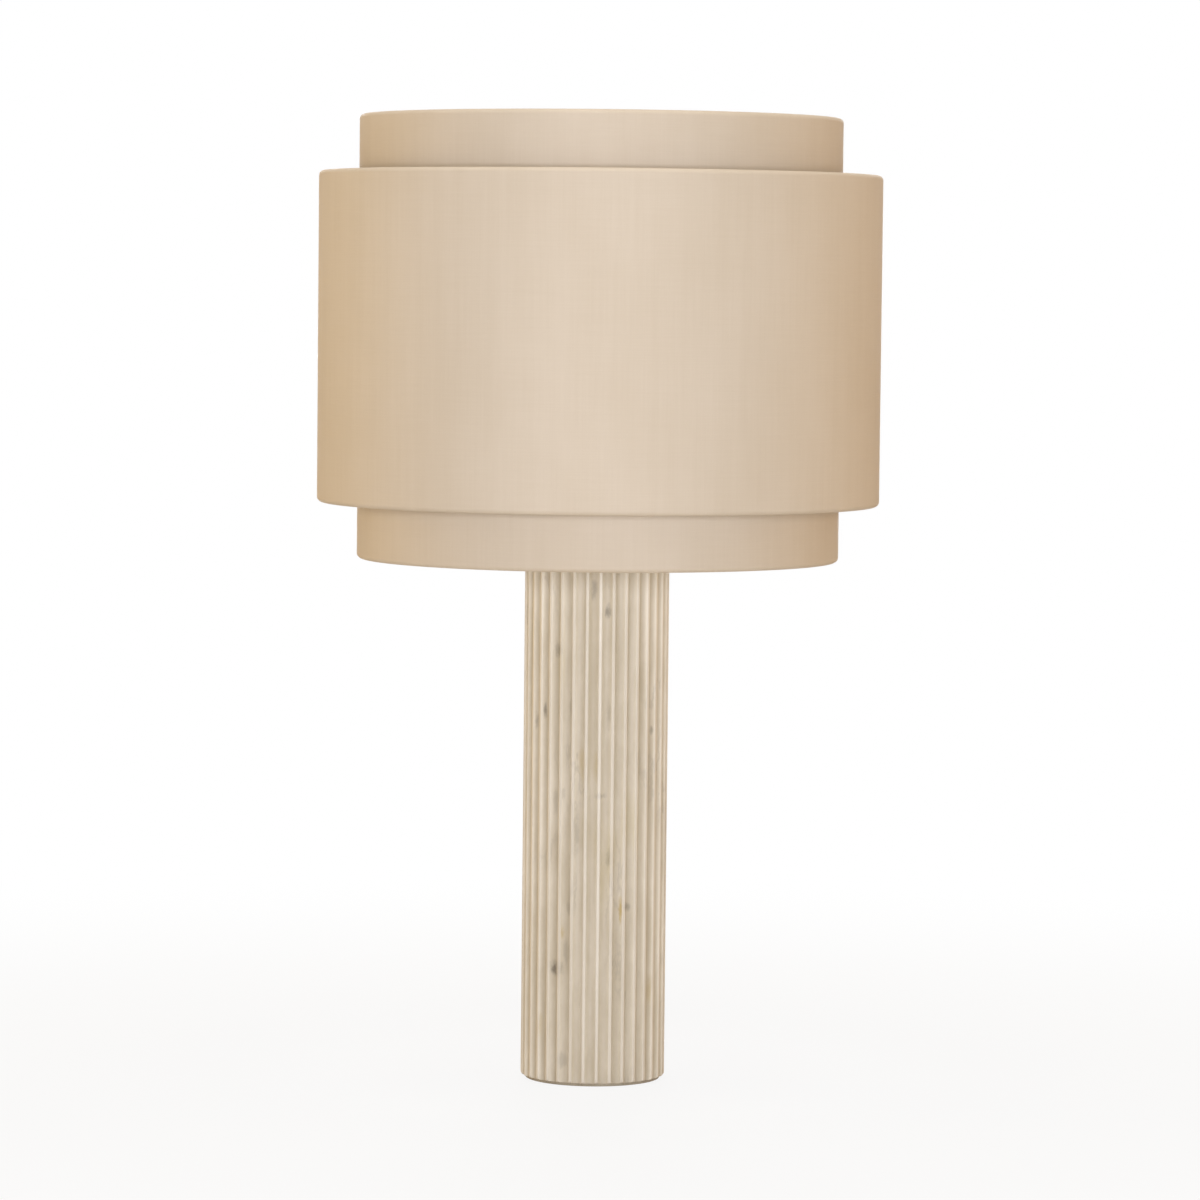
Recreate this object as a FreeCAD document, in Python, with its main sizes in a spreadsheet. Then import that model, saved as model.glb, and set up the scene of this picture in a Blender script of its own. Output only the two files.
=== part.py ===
import FreeCAD, Part
import math
import os
import Sketcher

# A column table lamp: a fluted marble column that stands on a felt pad, a lampholder on a threaded
# tube, and a shade of two linen drums, one inside the other, on a wire frame.
# Millimetres, +Z up. The origin is the middle of the foot, on the table. The cord leaves towards +Y.

doc = FreeCAD.newDocument("column_table_lamp")
Vector = FreeCAD.Vector

# ---------------------------------------------------------------------------------------------
# Driving dimensions
# ---------------------------------------------------------------------------------------------

SIZES = [
    ("base_pad_inset", "3", "from the column's crests in to the felt disc"),
    ("base_pad_thickness", "2", "felt disc under the column"),
    ("base_pad_edge", "0.4", "eased edge of the felt disc"),
    ("column_diameter", "90", "over the crests of the ridges"),
    ("column_length", "343", "stone only"),
    ("column_edge", "0.8", "chamfer turned on both ends"),
    ("flute_count", "34", "flutes round the column"),
    ("flute_depth", "2", "from the crest to the flute's floor"),
    ("flute_radius", "3.8", "hollow of a flute"),
    ("flute_angle", "3.2", "from +X to the middle of the first flute, degrees"),
    ("ridge_radius", "0.9", "rounding on both sides of a ridge"),
    ("ridge_overrun", "0.1", "how far that rounding's circle rises past the crest"),
    ("cutter_overrun", "2", "how far a cutter runs out past what it cuts"),
    ("bore_clearance", "1", "radial, between the column's bore and the tube"),
    ("recess_diameter", "40", "sunk in the foot for the nut and washer"),
    ("recess_depth", "26", "sunk in the foot for the nut and washer"),
    ("cord_height", "13", "axis of the cord's way out above the table"),
    ("gland_barrel_diameter", "10", "part of the cord bush inside the stone"),
    ("gland_flange_diameter", "14", "rim of the cord bush"),
    ("gland_flange_thickness", "1.5", "rim of the cord bush"),
    ("gland_bore", "7", "way for the cord"),
    ("gland_length", "14", "whole cord bush"),
    ("gland_edge", "0.5", "rounded mouth of the cord bush"),
    ("gland_seat_depth", "3", "flat seat, from the crests inwards"),
    ("fit_clearance", "0.05", "radial, between pieces that slide or screw together"),
    ("spigot_clearance", "0.1", "radial, round a spigot that only centres a piece"),
    ("seat_clearance", "0.5", "radial, round the rim of a piece in its seat"),
    ("tube_diameter", "10", "threaded tube"),
    ("tube_bore", "7", "threaded tube"),
    ("tube_tail", "2", "tube below the lower nut"),
    ("tube_edge", "0.5", "chamfer on the tube's ends"),
    ("foot_washer_inset", "3", "from the recess's wall in to the washer's rim"),
    ("foot_washer_thickness", "2", "under the stone"),
    ("nut_across_flats", "14", "nuts on the tube"),
    ("foot_nut_height", "5", "nut in the foot"),
    ("top_nut_height", "4", "nut on the cap"),
    ("cap_inset", "10", "from the column's crests in to the cap's rim"),
    ("cap_thickness", "3", "turned cap on top of the stone"),
    ("cap_edge", "0.8", "chamfer on the cap's rim"),
    ("cap_spigot_length", "4", "centres the cap in the stone's bore"),
    ("neck_diameter", "16", "threaded neck of the lampholder"),
    ("neck_height", "8", "threaded neck of the lampholder"),
    ("dome_diameter", "40", "lower half of the lampholder"),
    ("dome_slope", "4", "height of the sloping shoulder over the neck"),
    ("dome_height", "30", "lower half of the lampholder, with its neck"),
    ("dome_wall", "2.6", "round the thread that takes the skirt"),
    ("dome_floor", "5", "over the neck"),
    ("dome_edge", "0.6", "rim of the dome"),
    ("ledge_width", "3.4", "ledge inside the dome that carries the core"),
    ("lock_screw_diameter", "3", "grub screw in the neck"),
    ("core_flange_thickness", "4", "ceramic core, clamped part"),
    ("core_height", "12", "whole ceramic core"),
    ("core_bore", "6", "way for the wires through the core"),
    ("terminal_head_diameter", "5", "screw heads under the core"),
    ("terminal_head_height", "2", "screw heads under the core"),
    ("terminal_shank_diameter", "3", "screws in the core"),
    ("terminal_shank_length", "7", "screws in the core"),
    ("terminal_pitch", "16", "between the two screws"),
    ("skirt_diameter", "39", "threaded barrel of the lampholder"),
    ("skirt_spigot_length", "8", "part that screws into the dome"),
    ("skirt_height", "30", "above the dome"),
    ("skirt_edge", "0.8", "rim of the skirt"),
    ("shoulder_diameter", "46", "the shade's hub rests on this"),
    ("shoulder_thickness", "2", "the shade's hub rests on this"),
    ("shoulder_height", "8", "from the dome's rim to the shoulder's top"),
    ("shell_thickness", "0.4", "brass screw shell"),
    ("shell_length", "27", "brass screw shell"),
    ("shell_lip", "3.5", "flange at the foot of the screw shell"),
    ("leaf_width", "5", "centre contact"),
    ("leaf_thickness", "0.5", "centre contact"),
    ("leaf_height", "3", "centre contact"),
    ("leaf_length", "14", "centre contact"),
    ("leaf_slope", "3", "centre contact, run of each sloping side"),
    ("leaf_crown", "4", "centre contact, flat part under the bulb"),
    ("hub_clearance", "1.5", "radial, between the hub and the lampholder's skirt"),
    ("hub_width", "4", "ring in the middle of the spider"),
    ("hub_thickness", "1.5", "ring in the middle of the spider"),
    ("shade_drop", "65", "from the inner drum's foot up to the hub"),
    ("inner_drum_diameter", "300", "outside the linen"),
    ("inner_drum_height", "275", "over the hems"),
    ("drum_spacing", "25", "from the inner drum's linen out to the outer drum's"),
    ("lower_reveal", "35", "inner drum that shows below the outer one"),
    ("upper_reveal", "35", "inner drum that shows above the outer one"),
    ("linen_thickness", "0.5", "cloth of both drums"),
    ("liner_thickness", "0.5", "stiff sheet behind the cloth"),
    ("hem_rounding", "1.5", "corner of the hem over its hoop"),
    ("hem_length", "6.5", "turned-in part of the hem"),
    ("hoop_wire", "4", "four hoops of the frame"),
    ("frame_wire", "3", "spider arms, struts and spokes"),
    ("weld_sink", "0.3", "depth that a welded wire sinks into its neighbour"),
    ("spoke_hole", "3.6", "holes in cloth and liner for the wires"),
    ("hoop_flats", "8", "flats that stand for a hoop's round section"),
    ("frame_arms", "3", "arms, struts and spokes in each set"),
    ("arm_level_run", "8", "level part of an arm at each end"),
    ("arm_bend", "10", "radius of the bends in an arm"),
    ("washer_diameter", "48", "fibre washer under the shade ring"),
    ("washer_thickness", "1.2", "fibre washer under the shade ring"),
    ("ring_flange_diameter", "54", "shade ring"),
    ("ring_flange_thickness", "3", "shade ring"),
    ("ring_collar_diameter", "46", "shade ring"),
    ("ring_height", "8", "shade ring"),
    ("ring_edge", "0.6", "shade ring"),
    ("ring_grips", "18", "grip notches round the shade ring"),
    ("ring_grip_radius", "1.5", "grip notches round the shade ring"),
    ("bulb_cap_diameter", "26.4", "screw cap of the bulb"),
    ("bulb_cap_length", "21", "screw cap of the bulb"),
    ("bulb_cap_wall", "0.4", "screw cap of the bulb"),
    ("bulb_cap_clearance", "0.75", "radial, between the screw cap and the screw shell"),
    ("bulb_tip_height", "1.5", "solder tip of the bulb"),
    ("bulb_tip_diameter", "9", "solder tip of the bulb"),
    ("bulb_insulator_height", "4.5", "dark glass between tip and cap"),
    ("bulb_diameter", "60", "globe"),
    ("bulb_length", "108", "from the tip to the top of the globe"),
    ("bulb_neck_length", "7", "housing inside the screw cap"),
    ("bulb_collar_diameter", "29", "housing above the screw cap"),
    ("bulb_collar_height", "6", "housing above the screw cap"),
    ("bulb_seam_angle", "30", "how far below its widest the globe meets the housing, degrees"),
    ("bulb_wall", "1.2", "globe and housing"),
    ("bulb_bands", "6", "bands that the globe's curve is turned in"),
    ("board_thickness", "1.6", "light board in the bulb"),
    ("chip_width", "3", "light chips on the board"),
    ("chip_height", "0.8", "light chips on the board"),
    ("chip_circle", "28", "circle that the chips stand on"),
    ("chip_count", "8", "light chips on the board"),
]

# Heights and radii that follow from the driving dimensions. Each formula names only what it needs.
LEVELS = [
    ("stone_foot", "Sizes.base_pad_thickness"),
    ("stone_top", "stone_foot + Sizes.column_length"),
    ("recess_top", "stone_foot + Sizes.recess_depth"),
    ("foot_washer_seat", "recess_top - Sizes.foot_washer_thickness"),
    ("foot_nut_seat", "foot_washer_seat - Sizes.foot_nut_height"),
    ("tube_foot", "foot_nut_seat - Sizes.tube_tail"),
    ("cap_top", "stone_top + Sizes.cap_thickness"),
    ("holder_foot", "cap_top + Sizes.top_nut_height"),
    ("tube_top", "holder_foot + Sizes.neck_height + Sizes.dome_floor"),
    ("dome_rim", "holder_foot + Sizes.dome_height"),
    ("core_flange_top", "dome_rim - Sizes.skirt_spigot_length"),
    ("core_seat", "core_flange_top - Sizes.core_flange_thickness"),
    ("core_top", "core_seat + Sizes.core_height"),
    ("hub_seat", "dome_rim + Sizes.shoulder_height"),
    ("hub_top", "hub_seat + Sizes.hub_thickness"),
    ("ring_seat", "hub_top + Sizes.washer_thickness"),
    ("bulb_foot", "core_top + Sizes.leaf_height"),
    ("bulb_cap_foot", "bulb_foot + Sizes.bulb_tip_height + Sizes.bulb_insulator_height"),
    ("bulb_cap_rim", "bulb_cap_foot + Sizes.bulb_cap_length"),
    ("globe_middle", "bulb_foot + Sizes.bulb_length - Sizes.bulb_diameter / 2"),
    ("globe_seam", "globe_middle - Sizes.bulb_diameter / 2 * sin(Sizes.bulb_seam_angle)"),
    ("seam_radius", "Sizes.bulb_diameter / 2 * cos(Sizes.bulb_seam_angle)"),
    ("inner_foot", "hub_seat - Sizes.shade_drop"),
    ("inner_rim", "inner_foot + Sizes.inner_drum_height"),
    ("outer_foot", "inner_foot + Sizes.lower_reveal"),
    ("outer_rim", "inner_rim - Sizes.upper_reveal"),
    ("hoop_inset", "Sizes.linen_thickness + Sizes.hoop_wire / 2"),
    ("lower_spoke_axis", "outer_foot + hoop_inset"),
    ("upper_spoke_axis", "outer_rim - hoop_inset"),
    ("drum_skin", "Sizes.linen_thickness + Sizes.liner_thickness"),
    ("inner_radius", "Sizes.inner_drum_diameter / 2"),
    ("outer_radius", "inner_radius + Sizes.drum_spacing"),
    ("inner_hoop_radius", "inner_radius - drum_skin - Sizes.hoop_wire / 2"),
    ("outer_hoop_radius", "outer_radius - drum_skin - Sizes.hoop_wire / 2"),
    ("hem_mitre", "Sizes.linen_thickness * (sqrt(2) - 1)"),
    ("dome_thread_radius", "Sizes.dome_diameter / 2 - Sizes.dome_wall"),
    ("tube_hole_radius", "Sizes.tube_diameter / 2 + Sizes.fit_clearance"),
    ("bore_radius", "Sizes.tube_diameter / 2 + Sizes.bore_clearance"),
    ("crest_radius", "Sizes.column_diameter / 2"),
    ("pad_radius", "crest_radius - Sizes.base_pad_inset"),
    ("cap_radius", "crest_radius - Sizes.cap_inset"),
    ("foot_washer_radius", "Sizes.recess_diameter / 2 - Sizes.foot_washer_inset"),
    ("bulb_cap_radius", "Sizes.bulb_cap_diameter / 2"),
    ("shell_bore_radius", "bulb_cap_radius + Sizes.bulb_cap_clearance"),
    ("shell_radius", "shell_bore_radius + Sizes.shell_thickness"),
    ("skirt_bore_radius", "shell_radius + Sizes.fit_clearance"),
    ("skirt_radius", "Sizes.skirt_diameter / 2"),
    ("hub_bore_radius", "skirt_radius + Sizes.hub_clearance"),
    ("gland_seat_y", "crest_radius - Sizes.gland_seat_depth"),
]

sizes = doc.addObject("Spreadsheet::Sheet", "Sizes")
for row, (alias, value, note) in enumerate(SIZES, start=1):
    sizes.set(f"A{row}", alias)
    sizes.set(f"B{row}", value)
    sizes.set(f"C{row}", note)
    sizes.setAlias(f"B{row}", alias)

levels = doc.addObject("Spreadsheet::Sheet", "Levels")
for row, (alias, formula) in enumerate(LEVELS, start=1):
    levels.set(f"A{row}", alias)
    levels.set(f"B{row}", f"={formula}")
    levels.setAlias(f"B{row}", alias)
doc.recompute()


def value_of(expression):
    """The number that an expression on the two sheets gives."""
    return float(sizes.evalExpression(expression))


# ---------------------------------------------------------------------------------------------
# Ways of making a piece
# ---------------------------------------------------------------------------------------------


def new_body(name, seat):
    """A body whose own frame stands at a height given by an expression."""
    body = doc.addObject("PartDesign::Body", name)
    body.Label = name
    body.AllowCompound = True
    body.setExpression("Placement.Base.z", seat)
    return body


def origin_feature(body, role):
    return next(item for item in body.Origin.OriginFeatures if item.Role == role)


def new_sketch(body, name, role="XY_Plane"):
    """An empty sketch on one of the body's origin planes."""
    sketch = body.newObject("Sketcher::SketchObject", name)
    sketch.AttachmentSupport = (origin_feature(body, role), [""])
    sketch.MapMode = "FlatFace"
    return sketch


def bind(sketch, kind, places, expression):
    """Adds a dimension to a sketch and binds it to an expression."""
    index = sketch.addConstraint(Sketcher.Constraint(kind, *places, value_of(expression)))
    sketch.setExpression(f"Constraints[{index}]", expression)


def pin_point(sketch, edge, end, across, up):
    """Holds one end of an edge at two distances from the sketch's origin."""
    bind(sketch, "DistanceX", (-1, 1, edge, end), across)
    bind(sketch, "DistanceY", (-1, 1, edge, end), up)


def closed_outline(sketch, corners):
    """Straight sides through corners, each a pair of expressions."""
    points = [Vector(value_of(across), value_of(up), 0) for across, up in corners]
    first = sketch.GeometryCount
    count = len(corners)
    for i in range(count):
        sketch.addGeometry(Part.LineSegment(points[i], points[(i + 1) % count]), False)
    for i in range(count):
        following = first + (i + 1) % count
        sketch.addConstraint(Sketcher.Constraint("Coincident", first + i, 2, following, 1))
    for i, (across, up) in enumerate(corners):
        pin_point(sketch, first + i, 1, across, up)


def circle_in(sketch, across, up, radius):
    """A circle whose middle and radius are expressions."""
    middle = Vector(value_of(across), value_of(up), 0)
    edge = sketch.addGeometry(Part.Circle(middle, Vector(0, 0, 1), value_of(radius)), False)
    pin_point(sketch, edge, 3, across, up)
    bind(sketch, "Radius", (edge,), radius)


def revolve(body, sketch, axis="V_Axis"):
    """Turns a sketch once round one of its own axes."""
    feature = body.newObject("PartDesign::Revolution", sketch.Name + "_turned")
    feature.Profile = sketch
    feature.ReferenceAxis = (sketch, [axis])
    feature.Angle = 360
    return feature


def turned(name, seat, corners):
    """A piece turned on the lamp's axis, from corners in its own frame."""
    body = new_body(name, seat)
    sketch = new_sketch(body, name + "_profile", "XZ_Plane")
    closed_outline(sketch, corners)
    revolve(body, sketch)
    return body


def back_facing_sketch(body, name, distance):
    """An upright sketch at a distance behind the lamp's axis. Its normal points to the front."""
    sketch = new_sketch(body, name, "XZ_Plane")
    sketch.setExpression("AttachmentOffset.Base.z", f"-({distance})")
    return sketch


def pad(body, sketch, length, reverse=False, middle=False):
    """Raises a sketch along its normal, against it, or half to each side."""
    feature = body.newObject("PartDesign::Pad", sketch.Name + "_pad")
    feature.Profile = sketch
    feature.Reversed = reverse
    feature.Midplane = middle
    feature.setExpression("Length", length)
    return feature


def drill_to_the_back(body, name, start, height, radius, length):
    """Drills a round hole along +Y, from a distance behind the axis, at a height in the body's frame."""
    sketch = back_facing_sketch(body, name, start)
    circle_in(sketch, "0", height, radius)
    feature = body.newObject("PartDesign::Pocket", name + "_cut")
    feature.Profile = sketch
    feature.setExpression("Length", length)
    return feature


def pocket_both_ways(body, sketch, length):
    """Cuts a sketch through the body, half of the length to each side of its plane."""
    feature = body.newObject("PartDesign::Pocket", sketch.Name + "_cut")
    feature.Profile = sketch
    feature.Midplane = True
    feature.setExpression("Length", length)
    return feature


def round_the_axis(body, feature, count):
    """Repeats a feature evenly round the lamp's axis."""
    pattern = body.newObject("PartDesign::PolarPattern", feature.Name + "_round")
    pattern.Originals = [feature]
    pattern.Axis = (origin_feature(body, "Z_Axis"), [""])
    pattern.Angle = 360
    pattern.setExpression("Occurrences", count)
    body.Tip = pattern
    return pattern


def hexagon_nut(name, seat, height):
    """A plain hexagon nut on the threaded tube."""
    body = new_body(name, seat)
    sketch = new_sketch(body, name + "_hexagon")
    corner = "Sizes.nut_across_flats / sqrt(3)"
    closed_outline(
        sketch, [(f"{corner} * cos({60 * i})", f"{corner} * sin({60 * i})") for i in range(6)]
    )
    circle_in(sketch, "0", "0", "Levels.tube_hole_radius")
    pad(body, sketch, height)
    return body


# ---------------------------------------------------------------------------------------------
# Base: stone column, its pad, and the tube that holds everything together
# ---------------------------------------------------------------------------------------------

# Felt pad, glued under the stone. It closes the recess.
turned(
    "base_pad",
    "0",
    [
        ("0", "0"),
        ("Levels.pad_radius - Sizes.base_pad_edge", "0"),
        ("Levels.pad_radius", "Sizes.base_pad_edge"),
        ("Levels.pad_radius", "Sizes.base_pad_thickness"),
        ("0", "Sizes.base_pad_thickness"),
    ],
)


def flute_sketch(body):
    """One flute: its hollow, the rounding that leads into the ridge on each side, and a clear way out."""
    sketch = new_sketch(body, "flute_section")
    floor = "(Levels.crest_radius - Sizes.flute_depth)"
    hollow = f"({floor} + Sizes.flute_radius)"
    shoulder = "(Levels.crest_radius - Sizes.ridge_radius + Sizes.ridge_overrun)"
    outside = "(Levels.crest_radius + Sizes.cutter_overrun)"
    r = value_of("Sizes.flute_radius")
    s = value_of("Sizes.ridge_radius")
    d = value_of(hollow)
    e = value_of(shoulder)
    turn = math.acos((e * e + d * d - (r + s) ** 2) / (2 * e * d))
    middle = Vector(e * math.cos(turn), e * math.sin(turn), 0)
    lean = math.atan2(middle.y, middle.x - d)
    up = Vector(0, 0, 1)
    hollow_arc = Part.ArcOfCircle(Part.Circle(Vector(d, 0, 0), up, r), lean, 2 * math.pi - lean)
    upper = Part.ArcOfCircle(Part.Circle(middle, up, s), turn, lean + math.pi)
    mirrored = Vector(middle.x, -middle.y, 0)
    lower = Part.ArcOfCircle(Part.Circle(mirrored, up, s), math.pi - lean, 2 * math.pi - turn)
    crown = Vector((e + s) * math.cos(turn), (e + s) * math.sin(turn), 0)
    far = value_of(outside)
    sides = [
        (crown, Vector(far, crown.y, 0)),
        (Vector(far, crown.y, 0), Vector(far, -crown.y, 0)),
        (Vector(far, -crown.y, 0), Vector(crown.x, -crown.y, 0)),
    ]
    a = sketch.addGeometry(hollow_arc, False)
    b = sketch.addGeometry(upper, False)
    c = sketch.addGeometry(lower, False)
    out, across, back = [sketch.addGeometry(Part.LineSegment(*ends), False) for ends in sides]
    ray = sketch.addGeometry(Part.LineSegment(Vector(0, 0, 0), middle), True)
    add = sketch.addConstraint
    bind(sketch, "DistanceX", (-1, 1, a, 3), hollow)
    bind(sketch, "Radius", (a,), "Sizes.flute_radius")
    bind(sketch, "Radius", (b,), "Sizes.ridge_radius")
    add(Sketcher.Constraint("Tangent", a, 1, b, 2))
    add(Sketcher.Constraint("Tangent", a, 2, c, 1))
    add(Sketcher.Constraint("Symmetric", b, 3, c, 3, -1))
    add(Sketcher.Constraint("Coincident", ray, 1, -1, 1))
    add(Sketcher.Constraint("Coincident", ray, 2, b, 3))
    bind(sketch, "Distance", (ray,), shoulder)
    add(Sketcher.Constraint("PointOnObject", b, 1, ray))
    add(Sketcher.Constraint("Symmetric", b, 1, c, 2, -1))
    add(Sketcher.Constraint("Coincident", b, 1, out, 1))
    add(Sketcher.Constraint("Coincident", out, 2, across, 1))
    add(Sketcher.Constraint("Coincident", across, 2, back, 1))
    add(Sketcher.Constraint("Coincident", back, 2, c, 2))
    add(Sketcher.Constraint("Horizontal", out))
    add(Sketcher.Constraint("Vertical", across))
    add(Sketcher.Constraint("Horizontal", back))
    bind(sketch, "DistanceX", (-1, 1, out, 2), outside)
    return sketch


# Column of marble, turned, then fluted from end to end with a rounded ridge between two flutes.
# Behind the foot it is drilled for the cord, with a flat seat for the bush.
column = new_body("marble_column", "Levels.stone_foot")
blank = new_sketch(column, "column_section", "XZ_Plane")
closed_outline(
    blank,
    [
        ("Levels.bore_radius", "Sizes.recess_depth"),
        ("Sizes.recess_diameter / 2", "Sizes.recess_depth"),
        ("Sizes.recess_diameter / 2", "0"),
        ("Levels.crest_radius - Sizes.column_edge", "0"),
        ("Levels.crest_radius", "Sizes.column_edge"),
        ("Levels.crest_radius", "Sizes.column_length - Sizes.column_edge"),
        ("Levels.crest_radius - Sizes.column_edge", "Sizes.column_length"),
        ("Levels.bore_radius", "Sizes.column_length"),
    ],
)
revolve(column, blank)
flute_profile = flute_sketch(column)
flute_profile.setExpression("AttachmentOffset.Rotation.Angle", "Sizes.flute_angle")
flute = pocket_both_ways(column, flute_profile, "2 * (Sizes.column_length + Sizes.cutter_overrun)")
round_the_axis(column, flute, "Sizes.flute_count")
drill_to_the_back(
    column,
    "cord_channel",
    "0",
    "Sizes.cord_height - Levels.stone_foot",
    "Sizes.gland_barrel_diameter / 2 + Sizes.fit_clearance",
    "Levels.crest_radius",
)
drill_to_the_back(
    column,
    "bush_seat",
    "Levels.gland_seat_y",
    "Sizes.cord_height - Levels.stone_foot",
    "Sizes.gland_flange_diameter / 2 + Sizes.seat_clearance",
    "Sizes.gland_seat_depth + Sizes.cutter_overrun",
)

# Bush that the cord leaves through. Its flange sits on the flat seat, its barrel in the stone.
bush = new_body("cord_bush", "Sizes.cord_height")
bush_section = new_sketch(bush, "bush_section", "YZ_Plane")
bush_end = "(Levels.gland_seat_y + Sizes.gland_flange_thickness)"
closed_outline(
    bush_section,
    [
        (f"{bush_end} - Sizes.gland_length", "Sizes.gland_bore / 2"),
        (f"{bush_end} - Sizes.gland_edge", "Sizes.gland_bore / 2"),
        (bush_end, "Sizes.gland_bore / 2 + Sizes.gland_edge"),
        (bush_end, "Sizes.gland_flange_diameter / 2 - Sizes.gland_edge"),
        (f"{bush_end} - Sizes.gland_edge", "Sizes.gland_flange_diameter / 2"),
        ("Levels.gland_seat_y", "Sizes.gland_flange_diameter / 2"),
        ("Levels.gland_seat_y", "Sizes.gland_barrel_diameter / 2"),
        (f"{bush_end} - Sizes.gland_length", "Sizes.gland_barrel_diameter / 2"),
    ],
)
revolve(bush, bush_section, "H_Axis")

# Threaded tube: it clamps the cap, the stone and the foot washer between its two nuts.
tube_length = "(Levels.tube_top - Levels.tube_foot)"
turned(
    "threaded_tube",
    "Levels.tube_foot",
    [
        ("Sizes.tube_bore / 2", "0"),
        ("Sizes.tube_diameter / 2 - Sizes.tube_edge", "0"),
        ("Sizes.tube_diameter / 2", "Sizes.tube_edge"),
        ("Sizes.tube_diameter / 2", f"{tube_length} - Sizes.tube_edge"),
        ("Sizes.tube_diameter / 2 - Sizes.tube_edge", tube_length),
        ("Sizes.tube_bore / 2", tube_length),
    ],
)

turned(
    "foot_washer",
    "Levels.foot_washer_seat",
    [
        ("Levels.tube_hole_radius", "0"),
        ("Levels.foot_washer_radius", "0"),
        ("Levels.foot_washer_radius", "Sizes.foot_washer_thickness"),
        ("Levels.tube_hole_radius", "Sizes.foot_washer_thickness"),
    ],
)
hexagon_nut("foot_nut", "Levels.foot_nut_seat", "Sizes.foot_nut_height")

# Turned cap on the stone, with a spigot that centres it in the bore.
spigot_radius = "(Levels.bore_radius - Sizes.spigot_clearance)"
turned(
    "column_cap",
    "Levels.stone_top",
    [
        ("Levels.tube_hole_radius", "-Sizes.cap_spigot_length"),
        (spigot_radius, "-Sizes.cap_spigot_length"),
        (spigot_radius, "0"),
        ("Levels.cap_radius", "0"),
        ("Levels.cap_radius", "Sizes.cap_thickness - Sizes.cap_edge"),
        ("Levels.cap_radius - Sizes.cap_edge", "Sizes.cap_thickness"),
        ("Levels.tube_hole_radius", "Sizes.cap_thickness"),
    ],
)
hexagon_nut("top_nut", "Levels.cap_top", "Sizes.top_nut_height")

# ---------------------------------------------------------------------------------------------
# Lampholder, size E27
# ---------------------------------------------------------------------------------------------

# Dome: lower half of the moulded holder. Its neck screws onto the tube, its rim takes the skirt.
cavity_floor = "(Sizes.neck_height + Sizes.dome_floor)"
core_ledge = "(Levels.core_seat - Levels.holder_foot)"
dome = turned(
    "lampholder_dome",
    "Levels.holder_foot",
    [
        ("Levels.tube_hole_radius", "0"),
        ("Sizes.neck_diameter / 2", "0"),
        ("Sizes.neck_diameter / 2", "Sizes.neck_height"),
        ("Sizes.dome_diameter / 2", "Sizes.neck_height + Sizes.dome_slope"),
        ("Sizes.dome_diameter / 2", "Sizes.dome_height - Sizes.dome_edge"),
        ("Sizes.dome_diameter / 2 - Sizes.dome_edge", "Sizes.dome_height"),
        ("Levels.dome_thread_radius", "Sizes.dome_height"),
        ("Levels.dome_thread_radius", core_ledge),
        ("Levels.dome_thread_radius - Sizes.ledge_width", core_ledge),
        ("Levels.dome_thread_radius - Sizes.ledge_width", cavity_floor),
        ("Levels.tube_hole_radius", cavity_floor),
    ],
)
drill_to_the_back(
    dome,
    "lock_screw_hole",
    "0",
    "Sizes.neck_height / 2",
    "Sizes.lock_screw_diameter / 2 + Sizes.fit_clearance",
    "Sizes.neck_diameter / 2 + Sizes.cutter_overrun",
)

# Grub screw that keeps the holder from turning on the tube.
lock_screw = new_body("lock_screw", "Levels.holder_foot + Sizes.neck_height / 2")
lock_section = back_facing_sketch(lock_screw, "lock_screw_section", "Levels.tube_hole_radius")
circle_in(lock_section, "0", "0", "Sizes.lock_screw_diameter / 2")
lock_length = "Sizes.neck_diameter / 2 - Levels.tube_hole_radius"
pad(lock_screw, lock_section, lock_length, reverse=True)

# Ceramic core, clamped between the dome's ledge and the skirt. It carries both contacts.
core = turned(
    "lampholder_core",
    "Levels.core_seat",
    [
        ("Sizes.core_bore / 2", "0"),
        ("Levels.dome_thread_radius - Sizes.fit_clearance", "0"),
        ("Levels.dome_thread_radius - Sizes.fit_clearance", "Sizes.core_flange_thickness"),
        ("Levels.shell_radius", "Sizes.core_flange_thickness"),
        ("Levels.shell_radius", "Sizes.core_height"),
        ("Sizes.core_bore / 2", "Sizes.core_height"),
    ],
)


def pair_of_circles(body, name, radius):
    """One circle for each terminal screw."""
    sketch = new_sketch(body, name)
    circle_in(sketch, "Sizes.terminal_pitch / 2", "0", radius)
    circle_in(sketch, "-Sizes.terminal_pitch / 2", "0", radius)
    return sketch


screw_holes = pair_of_circles(core, "terminal_holes", "Sizes.terminal_shank_diameter / 2")
pocket_both_ways(core, screw_holes, "2 * Sizes.terminal_shank_length")

# Two terminal screws. Their heads hang below the core, in the dome's cavity.
screws = new_body("terminal_screws", "Levels.core_seat")
heads = pair_of_circles(screws, "screw_heads", "Sizes.terminal_head_diameter / 2")
pad(screws, heads, "Sizes.terminal_head_height", reverse=True)
shanks = pair_of_circles(screws, "screw_shanks", "Sizes.terminal_shank_diameter / 2")
pad(screws, shanks, "Sizes.terminal_shank_length")

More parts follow.
